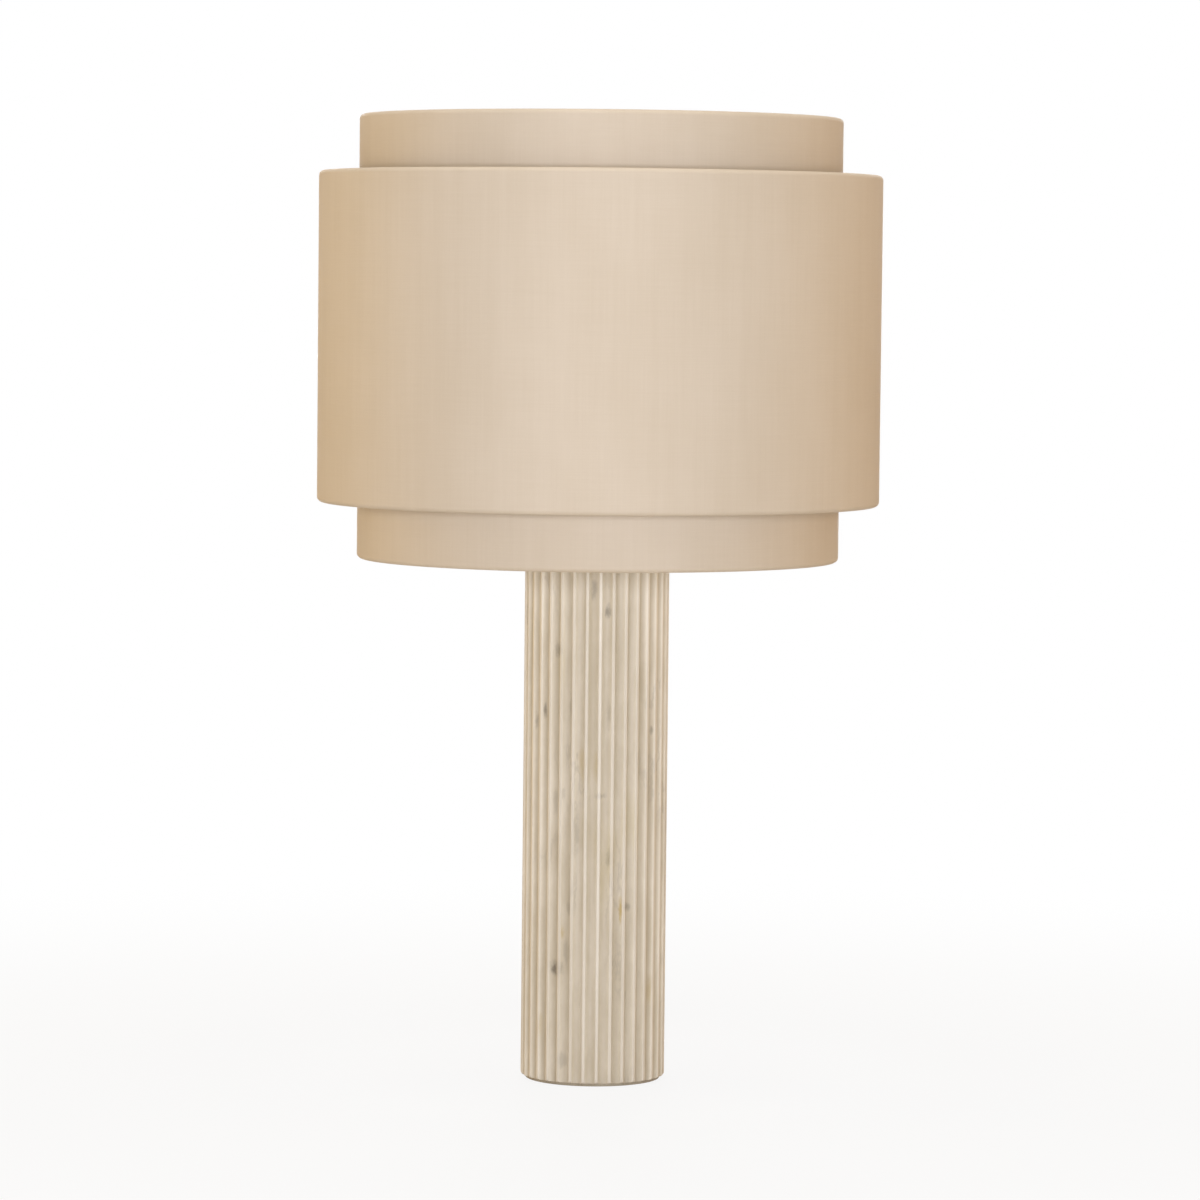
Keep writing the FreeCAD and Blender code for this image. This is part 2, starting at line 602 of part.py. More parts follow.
# Skirt: threaded barrel with the shoulder that the shade's hub rests on.
shoulder_top = "(Sizes.skirt_spigot_length + Sizes.shoulder_height)"
skirt_rim = "(Sizes.skirt_spigot_length + Sizes.skirt_height)"
turned(
    "lampholder_skirt",
    "Levels.core_flange_top",
    [
        ("Levels.skirt_bore_radius", "0"),
        ("Levels.dome_thread_radius - Sizes.fit_clearance", "0"),
        ("Levels.dome_thread_radius - Sizes.fit_clearance", "Sizes.skirt_spigot_length"),
        ("Levels.skirt_radius", "Sizes.skirt_spigot_length"),
        ("Levels.skirt_radius", f"{shoulder_top} - Sizes.shoulder_thickness"),
        ("Sizes.shoulder_diameter / 2", f"{shoulder_top} - Sizes.shoulder_thickness"),
        ("Sizes.shoulder_diameter / 2", shoulder_top),
        ("Levels.skirt_radius", shoulder_top),
        ("Levels.skirt_radius", f"{skirt_rim} - Sizes.skirt_edge"),
        ("Levels.skirt_radius - Sizes.skirt_edge", skirt_rim),
        ("Levels.skirt_bore_radius", skirt_rim),
    ],
)

# Brass shell that the bulb screws into. Its lip lies on the core.
turned(
    "screw_shell",
    "Levels.core_top",
    [
        ("Levels.shell_radius - Sizes.shell_lip", "0"),
        ("Levels.shell_radius", "0"),
        ("Levels.shell_radius", "Sizes.shell_length"),
        ("Levels.shell_bore_radius", "Sizes.shell_length"),
        ("Levels.shell_bore_radius", "Sizes.shell_thickness"),
        ("Levels.shell_radius - Sizes.shell_lip", "Sizes.shell_thickness"),
    ],
)

# Centre contact: a brass strip, bent up in the middle to press on the bulb's tip.
leaf = new_body("centre_contact", "Levels.core_top")
leaf_bend = new_sketch(leaf, "contact_section", "XZ_Plane")
crown_end = "Sizes.leaf_crown / 2"
slope_end = "(Sizes.leaf_crown / 2 + Sizes.leaf_slope)"
leaf_right = [
    (crown_end, "Sizes.leaf_height"),
    (slope_end, "Sizes.leaf_thickness"),
    ("Sizes.leaf_length / 2", "Sizes.leaf_thickness"),
    ("Sizes.leaf_length / 2", "0"),
    (slope_end, "0"),
    (crown_end, "Sizes.leaf_height - Sizes.leaf_thickness"),
]
leaf_left = [(f"-({across})", up) for across, up in reversed(leaf_right)]
closed_outline(leaf_bend, leaf_right + leaf_left)
pad(leaf, leaf_bend, "Sizes.leaf_width", middle=True)

# ---------------------------------------------------------------------------------------------
# Shade: wire frame, stiff liners and linen
# ---------------------------------------------------------------------------------------------

# Hub of the spider: the flat ring that drops over the lampholder's skirt.
hub_rim = "(Levels.hub_bore_radius + Sizes.hub_width)"
turned(
    "shade_hub",
    "Levels.hub_seat",
    [
        ("Levels.hub_bore_radius", "0"),
        (hub_rim, "0"),
        (hub_rim, "Sizes.hub_thickness"),
        ("Levels.hub_bore_radius", "Sizes.hub_thickness"),
    ],
)


def arm_path(body):
    """Middle line of one arm: level at the hub, bent down, then bent level again at the lower hoop."""
    sketch = new_sketch(body, "arm_path", "YZ_Plane")
    start = f"{hub_rim} - Sizes.weld_sink"
    finish = "Levels.inner_hoop_radius - Sizes.hoop_wire / 2 + Sizes.weld_sink"
    high = "Sizes.shade_drop + Sizes.hub_thickness / 2 - Levels.hoop_inset"
    bend = value_of("Sizes.arm_bend")
    run = value_of("Sizes.arm_level_run")
    top = value_of(high)
    first = Vector(value_of(start) + run, top, 0)
    last = Vector(value_of(finish) - run, 0, 0)
    rise = 2 * bend - top
    reach = last.x - first.x
    slope = math.asin(2 * bend / math.hypot(reach, rise)) - math.atan2(rise, reach)
    turn = Vector(math.sin(slope), math.cos(slope), 0) * bend
    upper_middle = first - Vector(0, bend, 0)
    lower_middle = last + Vector(0, bend, 0)
    up = Vector(0, 0, 1)
    quarter = math.pi / 2
    upper_circle = Part.Circle(upper_middle, up, bend)
    lower_circle = Part.Circle(lower_middle, up, bend)
    level_in = Part.LineSegment(first - Vector(run, 0, 0), first)
    slanted = Part.LineSegment(upper_middle + turn, lower_middle - turn)
    level_out = Part.LineSegment(last, last + Vector(run, 0, 0))
    a = sketch.addGeometry(level_in, False)
    b = sketch.addGeometry(Part.ArcOfCircle(upper_circle, quarter - slope, quarter), False)
    c = sketch.addGeometry(slanted, False)
    d = sketch.addGeometry(Part.ArcOfCircle(lower_circle, -quarter - slope, -quarter), False)
    e = sketch.addGeometry(level_out, False)
    add = sketch.addConstraint
    pin_point(sketch, a, 1, start, high)
    bind(sketch, "DistanceX", (-1, 1, a, 2), f"{start} + Sizes.arm_level_run")
    add(Sketcher.Constraint("Horizontal", a))
    add(Sketcher.Constraint("Tangent", a, 2, b, 2))
    add(Sketcher.Constraint("Tangent", b, 1, c, 1))
    add(Sketcher.Constraint("Tangent", c, 2, d, 1))
    add(Sketcher.Constraint("Tangent", d, 2, e, 1))
    bind(sketch, "Radius", (b,), "Sizes.arm_bend")
    bind(sketch, "Radius", (d,), "Sizes.arm_bend")
    add(Sketcher.Constraint("Horizontal", e))
    bind(sketch, "DistanceX", (-1, 1, e, 1), f"{finish} - Sizes.arm_level_run")
    bind(sketch, "DistanceX", (-1, 1, e, 2), finish)
    add(Sketcher.Constraint("PointOnObject", e, 2, -1))
    return sketch


# Spider arms: bent wires from the hub down to the lower hoop, the first one towards the back.
arms = new_body("spider_arms", "Levels.inner_foot + Levels.hoop_inset")
spine = arm_path(arms)
arm_start = back_facing_sketch(arms, "arm_section", f"{hub_rim} - Sizes.weld_sink")
arm_height = "Sizes.shade_drop + Sizes.hub_thickness / 2 - Levels.hoop_inset"
circle_in(arm_start, "0", arm_height, "Sizes.frame_wire / 2")
arm = arms.newObject("PartDesign::AdditivePipe", "arm_wire")
arm.Profile = arm_start
arm.Spine = (spine, [f"Edge{i + 1}" for i in range(spine.GeometryCount)])
round_the_axis(arms, arm, "Sizes.frame_arms")

# Struts: upright wires between the two hoops of the inner drum.
struts = new_body("frame_struts", "Levels.inner_foot")
strut_foot = "(Levels.hoop_inset + Sizes.hoop_wire / 2 - Sizes.weld_sink)"
strut_section = new_sketch(struts, "strut_section")
strut_section.setExpression("AttachmentOffset.Base.z", strut_foot)
circle_in(strut_section, "0", "Levels.inner_hoop_radius", "Sizes.frame_wire / 2")
strut = pad(struts, strut_section, f"Sizes.inner_drum_height - 2 * {strut_foot}")
round_the_axis(struts, strut, "Sizes.frame_arms")


def spokes(name, height):
    """Short wires from the struts out through the inner drum to a hoop of the outer drum."""
    body = new_body(name, height)
    start = "(Levels.inner_hoop_radius + Sizes.frame_wire / 2 - Sizes.weld_sink)"
    finish = "(Levels.outer_hoop_radius - Sizes.hoop_wire / 2 + Sizes.weld_sink)"
    sketch = back_facing_sketch(body, name + "_section", start)
    circle_in(sketch, "0", "0", "Sizes.frame_wire / 2")
    spoke = pad(body, sketch, f"{finish} - {start}", reverse=True)
    round_the_axis(body, spoke, "Sizes.frame_arms")


spokes("lower_spokes", "Levels.lower_spoke_axis")
spokes("upper_spokes", "Levels.upper_spoke_axis")


def hoop(name, seat, radius):
    """A ring of wire. Flats stand for its round section, the wire's thickness apart."""
    corner = "Sizes.hoop_wire / 2 / cos(180 / Sizes.hoop_flats)"
    flats = round(value_of("Sizes.hoop_flats"))
    angles = [f"(360 / Sizes.hoop_flats * ({i} + 1 / 2))" for i in range(flats)]
    turned(
        name, seat, [(f"{radius} + {corner} * cos({a})", f"{corner} * sin({a})") for a in angles]
    )


hoop("inner_lower_hoop", "Levels.inner_foot + Levels.hoop_inset", "Levels.inner_hoop_radius")
hoop("inner_upper_hoop", "Levels.inner_rim - Levels.hoop_inset", "Levels.inner_hoop_radius")
hoop("outer_lower_hoop", "Levels.lower_spoke_axis", "Levels.outer_hoop_radius")
hoop("outer_upper_hoop", "Levels.upper_spoke_axis", "Levels.outer_hoop_radius")


def drum_linen(name, seat, skin, tall):
    """Cloth of one drum, with its hems turned in over the hoops."""
    back = f"({skin} - Levels.drum_skin - Sizes.hoop_wire)"
    lip = f"({back} - Sizes.linen_thickness)"
    inside = f"({skin} - Sizes.linen_thickness)"
    corner = "Sizes.hem_rounding"
    mitre = "(Sizes.hem_rounding + Levels.hem_mitre)"
    cloth = "Sizes.linen_thickness"
    turn_in = "Sizes.hem_length"
    lower = [
        (inside, mitre),
        (f"{skin} - {mitre}", cloth),
        (back, cloth),
        (back, turn_in),
        (lip, turn_in),
        (lip, "0"),
        (f"{skin} - {corner}", "0"),
        (skin, corner),
    ]
    upper = [(across, f"{tall} - ({up})") for across, up in reversed(lower)]
    return turned(name, seat, lower + upper)


def drum_liner(name, seat, skin, tall):
    """Stiff sheet behind the cloth, from the middle of one hoop to the middle of the other."""
    outside = f"({skin} - Sizes.linen_thickness)"
    inside = f"({skin} - Levels.drum_skin)"
    foot = "Levels.hoop_inset"
    head = f"{tall} - Levels.hoop_inset"
    return turned(name, seat, [(inside, foot), (outside, foot), (outside, head), (inside, head)])


def wire_holes(body, name, start, height, length):
    """Round holes for the frame's wires, one behind each strut."""
    hole = drill_to_the_back(body, name, start, height, "Sizes.spoke_hole / 2", length)
    round_the_axis(body, hole, "Sizes.frame_arms")


inner = ("Levels.inner_foot", "Levels.inner_radius", "Sizes.inner_drum_height")
inner_linen = drum_linen("inner_linen", *inner)
inner_liner = drum_liner("inner_liner", *inner)
low_spoke = "Levels.lower_spoke_axis - Levels.inner_foot"
high_spoke = "Levels.upper_spoke_axis - Levels.inner_foot"
out_through = "Sizes.hoop_wire / 2 + Levels.drum_skin + Sizes.cutter_overrun"
for skin, title in ((inner_linen, "linen"), (inner_liner, "liner")):
    wire_holes(skin, f"{title}_low_holes", "Levels.inner_hoop_radius", low_spoke, out_through)
    wire_holes(skin, f"{title}_high_holes", "Levels.inner_hoop_radius", high_spoke, out_through)

# Where a wire reaches a hoop, the turned-in part of the hem is pierced for it.
lip_way = "Sizes.hoop_wire / 2 + Sizes.linen_thickness + Sizes.cutter_overrun"
inner_lip = f"Levels.inner_hoop_radius - ({lip_way})"
wire_holes(inner_linen, "arm_holes", inner_lip, "Levels.hoop_inset", lip_way)

outer = ("Levels.outer_foot", "Levels.outer_radius", "(Levels.outer_rim - Levels.outer_foot)")
outer_linen = drum_linen("outer_linen", *outer)
drum_liner("outer_liner", *outer)
outer_lip = f"Levels.outer_hoop_radius - ({lip_way})"
outer_high = "Levels.upper_spoke_axis - Levels.outer_foot"
wire_holes(outer_linen, "low_spoke_holes", outer_lip, "Levels.hoop_inset", lip_way)
wire_holes(outer_linen, "high_spoke_holes", outer_lip, outer_high, lip_way)

# ---------------------------------------------------------------------------------------------
# Shade ring and bulb, the two pieces that are screwed on by hand
# ---------------------------------------------------------------------------------------------

# Fibre washer that lets the ring turn without dragging the hub.
turned(
    "ring_washer",
    "Levels.hub_top",
    [
        ("Levels.skirt_radius + Sizes.seat_clearance", "0"),
        ("Sizes.washer_diameter / 2", "0"),
        ("Sizes.washer_diameter / 2", "Sizes.washer_thickness"),
        ("Levels.skirt_radius + Sizes.seat_clearance", "Sizes.washer_thickness"),
    ],
)

# Shade ring: moulded, with a gripped flange and a collar. It screws down the skirt's thread.
ring_bore = "Levels.skirt_radius + Sizes.fit_clearance"
shade_ring = turned(
    "shade_ring",
    "Levels.ring_seat",
    [
        (ring_bore, "0"),
        ("Sizes.ring_flange_diameter / 2", "0"),
        ("Sizes.ring_flange_diameter / 2", "Sizes.ring_flange_thickness"),
        ("Sizes.ring_collar_diameter / 2", "Sizes.ring_flange_thickness"),
        ("Sizes.ring_collar_diameter / 2", "Sizes.ring_height - Sizes.ring_edge"),
        ("Sizes.ring_collar_diameter / 2 - Sizes.ring_edge", "Sizes.ring_height"),
        (ring_bore, "Sizes.ring_height"),
    ],
)
grip_section = new_sketch(shade_ring, "grip_section")
circle_in(grip_section, "Sizes.ring_flange_diameter / 2", "0", "Sizes.ring_grip_radius")
grip = pocket_both_ways(
    shade_ring, grip_section, "2 * (Sizes.ring_flange_thickness + Sizes.cutter_overrun)"
)
round_the_axis(shade_ring, grip, "Sizes.ring_grips")

# Bulb tip, a drop of solder, and the dark glass that keeps it apart from the screw cap.
turned(
    "bulb_tip",
    "Levels.bulb_foot",
    [
        ("0", "0"),
        ("Sizes.bulb_tip_diameter / 2 - Sizes.bulb_tip_height / 2", "0"),
        ("Sizes.bulb_tip_diameter / 2", "Sizes.bulb_tip_height"),
        ("0", "Sizes.bulb_tip_height"),
    ],
)
turned(
    "bulb_insulator",
    "Levels.bulb_foot + Sizes.bulb_tip_height",
    [
        ("0", "0"),
        ("Sizes.bulb_tip_diameter / 2", "0"),
        ("Levels.bulb_cap_radius - Sizes.bulb_cap_wall", "Sizes.bulb_insulator_height"),
        ("0", "Sizes.bulb_insulator_height"),
    ],
)

# Screw cap of the bulb: thin brass, with a lip turned in over the dark glass.
turned(
    "bulb_screw_cap",
    "Levels.bulb_cap_foot",
    [
        ("Sizes.bulb_tip_diameter / 2", "0"),
        ("Levels.bulb_cap_radius", "0"),
        ("Levels.bulb_cap_radius", "Sizes.bulb_cap_length"),
        ("Levels.bulb_cap_radius - Sizes.bulb_cap_wall", "Sizes.bulb_cap_length"),
        ("Levels.bulb_cap_radius - Sizes.bulb_cap_wall", "Sizes.bulb_cap_wall"),
        ("Sizes.bulb_tip_diameter / 2", "Sizes.bulb_cap_wall"),
    ],
)

# Housing of the bulb: a plastic cup that swells from the cap to the globe's seam.
seam_height = "(Levels.globe_seam - Levels.bulb_cap_rim)"
housing_wall = "Sizes.bulb_wall"
collar = "(Sizes.bulb_collar_diameter / 2)"
neck = "(Levels.bulb_cap_radius - Sizes.bulb_cap_wall - Sizes.spigot_clearance)"
turned(
    "bulb_housing",
    "Levels.bulb_cap_rim",
    [
        (f"{neck} - {housing_wall}", "-Sizes.bulb_neck_length"),
        (neck, "-Sizes.bulb_neck_length"),
        (neck, "0"),
        (collar, "0"),
        (collar, "Sizes.bulb_collar_height"),
        ("Levels.seam_radius", seam_height),
        (f"Levels.seam_radius - {housing_wall}", seam_height),
        (f"{collar} - {housing_wall}", "Sizes.bulb_collar_height"),
        (f"{neck} - {housing_wall}", "0"),
    ],
)


def globe_side(radius):
    """Corners up one side of the globe, from its seam to its top, in the globe's own frame."""
    bands = round(value_of("Sizes.bulb_bands"))
    step = "(90 + Sizes.bulb_seam_angle) / Sizes.bulb_bands"
    angles = [f"({step} * {i} - Sizes.bulb_seam_angle)" for i in range(bands)]
    side = [(f"{radius} * cos({a})", f"{radius} * sin({a})") for a in angles]
    return side + [("0", radius)]


# Globe of the bulb: an opal dome on the housing's rim.
globe_radius = "(Sizes.bulb_diameter / 2)"
globe = globe_side(globe_radius)
globe_inside = globe_side(f"({globe_radius} - Sizes.bulb_wall)")
globe_inside[0] = ("Levels.seam_radius - Sizes.bulb_wall", globe[0][1])
turned("bulb_globe", "Levels.globe_middle", globe + globe_inside[::-1])

# Light board: a metal disc inside the rim of the housing, with its chips on top.
flare = f"(Levels.seam_radius - {collar}) / ({seam_height} - Sizes.bulb_collar_height)"
board_radius = f"(Levels.seam_radius - {housing_wall} - Sizes.board_thickness * {flare})"
board_seat = "Levels.globe_seam - Sizes.board_thickness"
turned(
    "light_board",
    board_seat,
    [
        ("0", "0"),
        (board_radius, "0"),
        (board_radius, "Sizes.board_thickness"),
        ("0", "Sizes.board_thickness"),
    ],
)
chips = new_body("light_chips", "Levels.globe_seam")
chip_section = new_sketch(chips, "chip_section")
half_chip = "Sizes.chip_width / 2"
chip_middle = "Sizes.chip_circle / 2"
closed_outline(
    chip_section,
    [
        (f"{chip_middle} - {half_chip}", f"-{half_chip}"),
        (f"{chip_middle} + {half_chip}", f"-{half_chip}"),
        (f"{chip_middle} + {half_chip}", half_chip),
        (f"{chip_middle} - {half_chip}", half_chip),
    ],
)
chip = pad(chips, chip_section, "Sizes.chip_height")
round_the_axis(chips, chip, "Sizes.chip_count")

# ---------------------------------------------------------------------------------------------
# Check and write
# ---------------------------------------------------------------------------------------------

doc.recompute()
faults = [item.Name for item in doc.Objects if {"Invalid", "Error"} & set(item.State)]
pieces = [item for item in doc.Objects if item.TypeId == "PartDesign::Body"]
for piece in pieces:
    if piece.Shape.isNull() or not piece.Shape.isValid() or not piece.Shape.Solids:
        faults.append(piece.Label)
if faults:
    raise RuntimeError(f"these objects failed: {faults}")

os.makedirs("parts", exist_ok=True)
for piece in pieces:
    piece.Shape.exportStep(f"parts/{piece.Label}.step")
    box = piece.Shape.BoundBox
    solids = len(piece.Shape.Solids)
    volume = piece.Shape.Volume
    print(f"{piece.Label:18} {solids} solids, z {box.ZMin:8.2f} to {box.ZMax:8.2f}, {volume:12.1f} mm3")
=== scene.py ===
import math

import bpy
from mathutils import Matrix, Vector


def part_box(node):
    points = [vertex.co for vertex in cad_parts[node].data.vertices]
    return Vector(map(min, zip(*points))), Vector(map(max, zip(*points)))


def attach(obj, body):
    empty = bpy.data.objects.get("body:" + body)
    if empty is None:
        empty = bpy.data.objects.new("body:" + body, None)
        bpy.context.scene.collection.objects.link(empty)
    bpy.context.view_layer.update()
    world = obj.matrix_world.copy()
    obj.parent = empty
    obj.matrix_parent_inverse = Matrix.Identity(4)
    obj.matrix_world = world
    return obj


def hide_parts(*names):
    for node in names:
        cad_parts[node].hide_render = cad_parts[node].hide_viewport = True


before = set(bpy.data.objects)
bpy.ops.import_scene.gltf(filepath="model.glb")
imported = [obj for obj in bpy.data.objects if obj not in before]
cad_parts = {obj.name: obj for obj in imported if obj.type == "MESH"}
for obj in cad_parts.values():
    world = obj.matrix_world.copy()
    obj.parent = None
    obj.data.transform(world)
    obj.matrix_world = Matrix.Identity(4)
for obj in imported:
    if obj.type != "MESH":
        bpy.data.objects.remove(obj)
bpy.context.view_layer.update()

# ------------------------------------------------
# Felt pad. A disc of pressed wool felt, cut with a knife and glued under the stone, so that the
# lamp slides on a table without scratching it and the recess in the foot stays shut.
# ------------------------------------------------

MM = 0.001


def connect(node, values):
    """Sets a node's sockets, by name or number, to plain values or to wires."""
    for name, value in values.items():
        if isinstance(value, Wire):
            node.id_data.links.new(value.socket, node.inputs[name])
        else:
            node.inputs[name].default_value = value


class Wire:
    """A socket in a node tree. Python's sums on it add Math nodes, and put() adds any other."""

    def __init__(self, tree, socket=None):
        self.tree = tree
        self.socket = socket

    def put(self, kind, settings=None, values=None, out=0):
        """Adds a node: its settings come first, then the values or wires of its sockets."""
        node = self.tree.nodes.new(kind)
        for name, value in (settings or {}).items():
            setattr(node, name, value)
        connect(node, values or {})
        return Wire(self.tree, node.outputs[out]) if node.outputs else None

    def out(self, name):
        """Another output of the same node."""
        return Wire(self.tree, self.socket.node.outputs[name])

    def axes(self):
        """The x, y and z of this place."""
        parts = self.put("ShaderNodeSeparateXYZ", {}, {"Vector": self})
        return [parts.out(name) for name in "XYZ"]

    def off_axis(self):
        """How far this place lies from the lamp's axis."""
        x, y, _ = self.axes()
        return (x * x + y * y).of("SQRT")

    def sum(self, operation, *terms):
        """A Math node on these terms, which are wires or numbers."""
        return self.put("ShaderNodeMath", {"operation": operation}, dict(enumerate(terms)))

    def __add__(self, other):
        return self.sum("ADD", self, other)

    def __radd__(self, other):
        return self.sum("ADD", other, self)

    def __sub__(self, other):
        return self.sum("SUBTRACT", self, other)

    def __rsub__(self, other):
        return self.sum("SUBTRACT", other, self)

    def __mul__(self, other):
        return self.sum("MULTIPLY", self, other)

    def __rmul__(self, other):
        return self.sum("MULTIPLY", other, self)

    def __truediv__(self, other):
        return self.sum("DIVIDE", self, other)

    def __rtruediv__(self, other):
        return self.sum("DIVIDE", other, self)

    def __neg__(self):
        return self.sum("MULTIPLY", self, -1)

    def __abs__(self):
        return self.sum("ABSOLUTE", self)

    def of(self, operation, *others):
        """A sum by name, such as the sine of this wire or the least of it and another."""
        return self.sum(operation, self, *others)

    def rise(self, low, high):
        """A soft step from 0 at the low value to 1 at the high one."""
        settings = {"interpolation_type": "SMOOTHSTEP"}
        values = {"Value": self, "From Min": low, "From Max": high}
        return self.put("ShaderNodeMapRange", settings, values)

    def tint(self, first, second):
        """From the first colour, where this wire is 0, to the second, where it is 1."""
        values = {0: self, 6: first, 7: second}
        return self.put("ShaderNodeMix", {"data_type": "RGBA"}, values, out=2)


def ink(red, green, blue):
    """A colour as a screen shows it, 0 to 255, as the linear one that a shader takes."""
    parts = [value / 255 for value in (red, green, blue)]
    return (*[p / 12.92 if p <= 0.04045 else ((p + 0.055) / 1.055) ** 2.4 for p in parts], 1)


def start_finish(name):
    """A new material, its shader, and the wire of its Object coordinates."""
    material = bpy.data.materials.new(name)
    material.use_nodes = True
    place = Wire(material.node_tree).put("ShaderNodeTexCoord", out="Object")
    return material, material.node_tree.nodes["Principled BSDF"], place


def grain(place, size, stretch=(1, 1, 1), detail=3, rough=0.5, shift=0):
    """Soft noise from 0 to 1, in lumps of a size in millimetres, drawn out by the stretch."""
    scale = [1 / (size * MM * part) for part in stretch]
    moved = place.put("ShaderNodeMapping", {}, {"Vector": place, "Scale": scale,
                                                "Location": (shift, 2 * shift, 3 * shift)})
    values = {"Vector": moved, "Scale": 1, "Detail": detail, "Roughness": rough}
    return moved.put("ShaderNodeTexNoise", {}, values)


def relief(height, depth):
    """The normal of a surface whose height, 0 to 1, stands for a depth in millimetres."""
    return height.put("ShaderNodeBump", {}, {"Height": height, "Distance": depth * MM})


def eased(corners, steps=4):
    """Rounds an outline's corners. A corner's third number is how far back its rounding starts."""
    points = []
    for i, corner in enumerate(corners):
        here = Vector(corner[:2])
        if len(corner) == 2:
            points.append(here)
            continue
        before = (Vector(corners[i - 1][:2]) - here).normalized() * corner[2]
        after = (Vector(corners[(i + 1) % len(corners)][:2]) - here).normalized() * corner[2]
        for step in range(steps + 1):
            t = step / steps
            points.append(here + before * (1 - t) ** 2 + after * t ** 2)
    return [tuple(point) for point in points]


def form(name, points, edges=(), faces=()):
    """A new object at the scene's origin, with a mesh of these points, edges and faces."""
    mesh = bpy.data.meshes.new(name)
    mesh.from_pydata(points, edges, faces)
    piece = bpy.data.objects.new(name, mesh)
    bpy.context.scene.collection.objects.link(piece)
    return piece


def turn(name, outline, columns=144, hexed=(), unroll=0):
    """Turns a closed outline of (radius, height) in millimetres on the lamp's axis.

    The outline has the material on its left. A ring whose number is in hexed is a hexagon, and
    its radius is half the width across the flats. With unroll, a radius, the skin gets a UV map
    named cloth, in metres along the cloth and across it. The first column is at the back."""
    if isinstance(columns, int):
        columns = [360 * i / columns for i in range(columns)]
    points = []
    rings = []
    for number, (radius, height) in enumerate(outline):
        if radius < 1e-6:
            rings.append([len(points)] * len(columns))
            points.append((0, 0, height * MM))
            continue
        rings.append(list(range(len(points), len(points) + len(columns))))
        for degrees in columns:
            angle = math.radians(degrees + 90)
            reach = radius
            if number in hexed:
                reach = radius / math.cos(math.radians((degrees + 30) % 60 - 30))
            points.append((reach * math.cos(angle) * MM, reach * math.sin(angle) * MM, height * MM))
    faces = []
    cloth = []
    across = 0
    for number, ring in enumerate(rings):
        after = rings[(number + 1) % len(rings)]
        step = math.dist(outline[number], outline[(number + 1) % len(rings)]) * MM
        for i in range(len(columns)):
            j = (i + 1) % len(columns)
            corners = (ring[i], ring[j], after[j], after[i])
            left = math.radians(columns[i]) * unroll * MM
            right = math.radians(columns[j] if j else 360) * unroll * MM
            over = across + step
            spots = (left, across), (right, across), (right, over), (left, over)
            face = dict(zip(corners, spots))
            if len(face) > 2:
                faces.append(tuple(face))
                cloth.extend(face.values())
        across += step
    piece = form(name, points, faces=faces)
    if unroll:
        layer = piece.data.uv_layers.new(name="cloth")
        layer.data.foreach_set("uv", [number for spot in cloth for number in spot])
    return piece


def fit(piece, material, body, slot, *nodes, crease=35):
    """Gives a piece its material, smooth but for the edges that turn by more than the crease, and
    rides it on a body in place of the CAD nodes that it stands for. The slot is not used."""
    piece.data.materials.clear()
    piece.data.materials.append(material)
    piece.data.shade_smooth()
    piece.data.set_sharp_from_angle(angle=math.radians(crease))
    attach(piece, body)
    if nodes:
        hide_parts(*nodes)


def span(node):
    """A CAD node's lowest and highest point and its outer radius, in millimetres."""
    low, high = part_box(node)
    return low.z / MM, high.z / MM, high.x / MM


felt, shader, place = start_finish("wool_felt")
fibres = grain(place, 0.9, (1, 1, 0.4), detail=6, rough=0.7)
patches = grain(place, 14, detail=2, shift=4)
tone = (fibres * 0.7 + patches * 0.3).rise(0.35, 0.65)
connect(shader, {
    "Base Color": tone.tint(ink(168, 152, 128), ink(198, 184, 161)),
    "Roughness": 0.9 + fibres * 0.1,
    "Sheen Weight": 0.3,
    "Specular IOR Level": 0.2,
    "Normal": relief(fibres, 0.4),
})
foot, top, rim = span("base_pad")
pad = turn("base_pad_felt", eased([(0, foot), (rim, foot, 0.5), (rim, top, 0.3), (0, top)]))
fit(pad, felt, "base", "felt", "base_pad")

# ------------------------------------------------
# Column. One piece of cream marble, turned, cut with 34 flutes from end to end and honed. The
# foot is sunk for the nut, the axis is drilled for the tube, and the back for the cord's bush.
# ------------------------------------------------

FLUTES = 34
FLUTE_DEPTH = 2
FLUTE_HOLLOW = 3.8
RIDGE = 0.9
RIDGE_OVERRUN = 0.1
FIRST_FLUTE = math.radians(3.2)
CREST = 45
CHAMFER = 0.8
COLUMN_BORE = 6
RECESS = 20
RECESS_DEPTH = 26
CORD_HEIGHT = 13
CORD_CHANNEL = 5.05
BUSH_SEAT = 7.5
BUSH_SEAT_FROM = 42
MARK_OUT = 44
MARK_DEPTH = 6
BACK = math.radians(90)


def start_recipe(name, **inputs):
    """A Geometry Nodes tree and the wires of its inputs, each with its kind of socket."""
    tree = bpy.data.node_groups.new(name, "GeometryNodeTree")
    sockets = tree.interface
    sockets.new_socket("shape", in_out="INPUT", socket_type="NodeSocketGeometry")
    for label, kind in inputs.items():
        sockets.new_socket(label, in_out="INPUT", socket_type=f"NodeSocket{kind}")
    sockets.new_socket("shape", in_out="OUTPUT", socket_type="NodeSocketGeometry")
    source = tree.nodes.new("NodeGroupInput")
    return tree, {socket.name: Wire(tree, socket) for socket in source.outputs if socket.name}


def end_recipe(shape, material):
    """Makes copies real, gives them their finish, and hands the shape on."""
    real = shape.put("GeometryNodeRealizeInstances", {}, {"Geometry": shape})
    done = real.put("GeometryNodeSetMaterial", {}, {"Geometry": real, "Material": material})
    done.put("NodeGroupOutput", {}, {"shape": done})


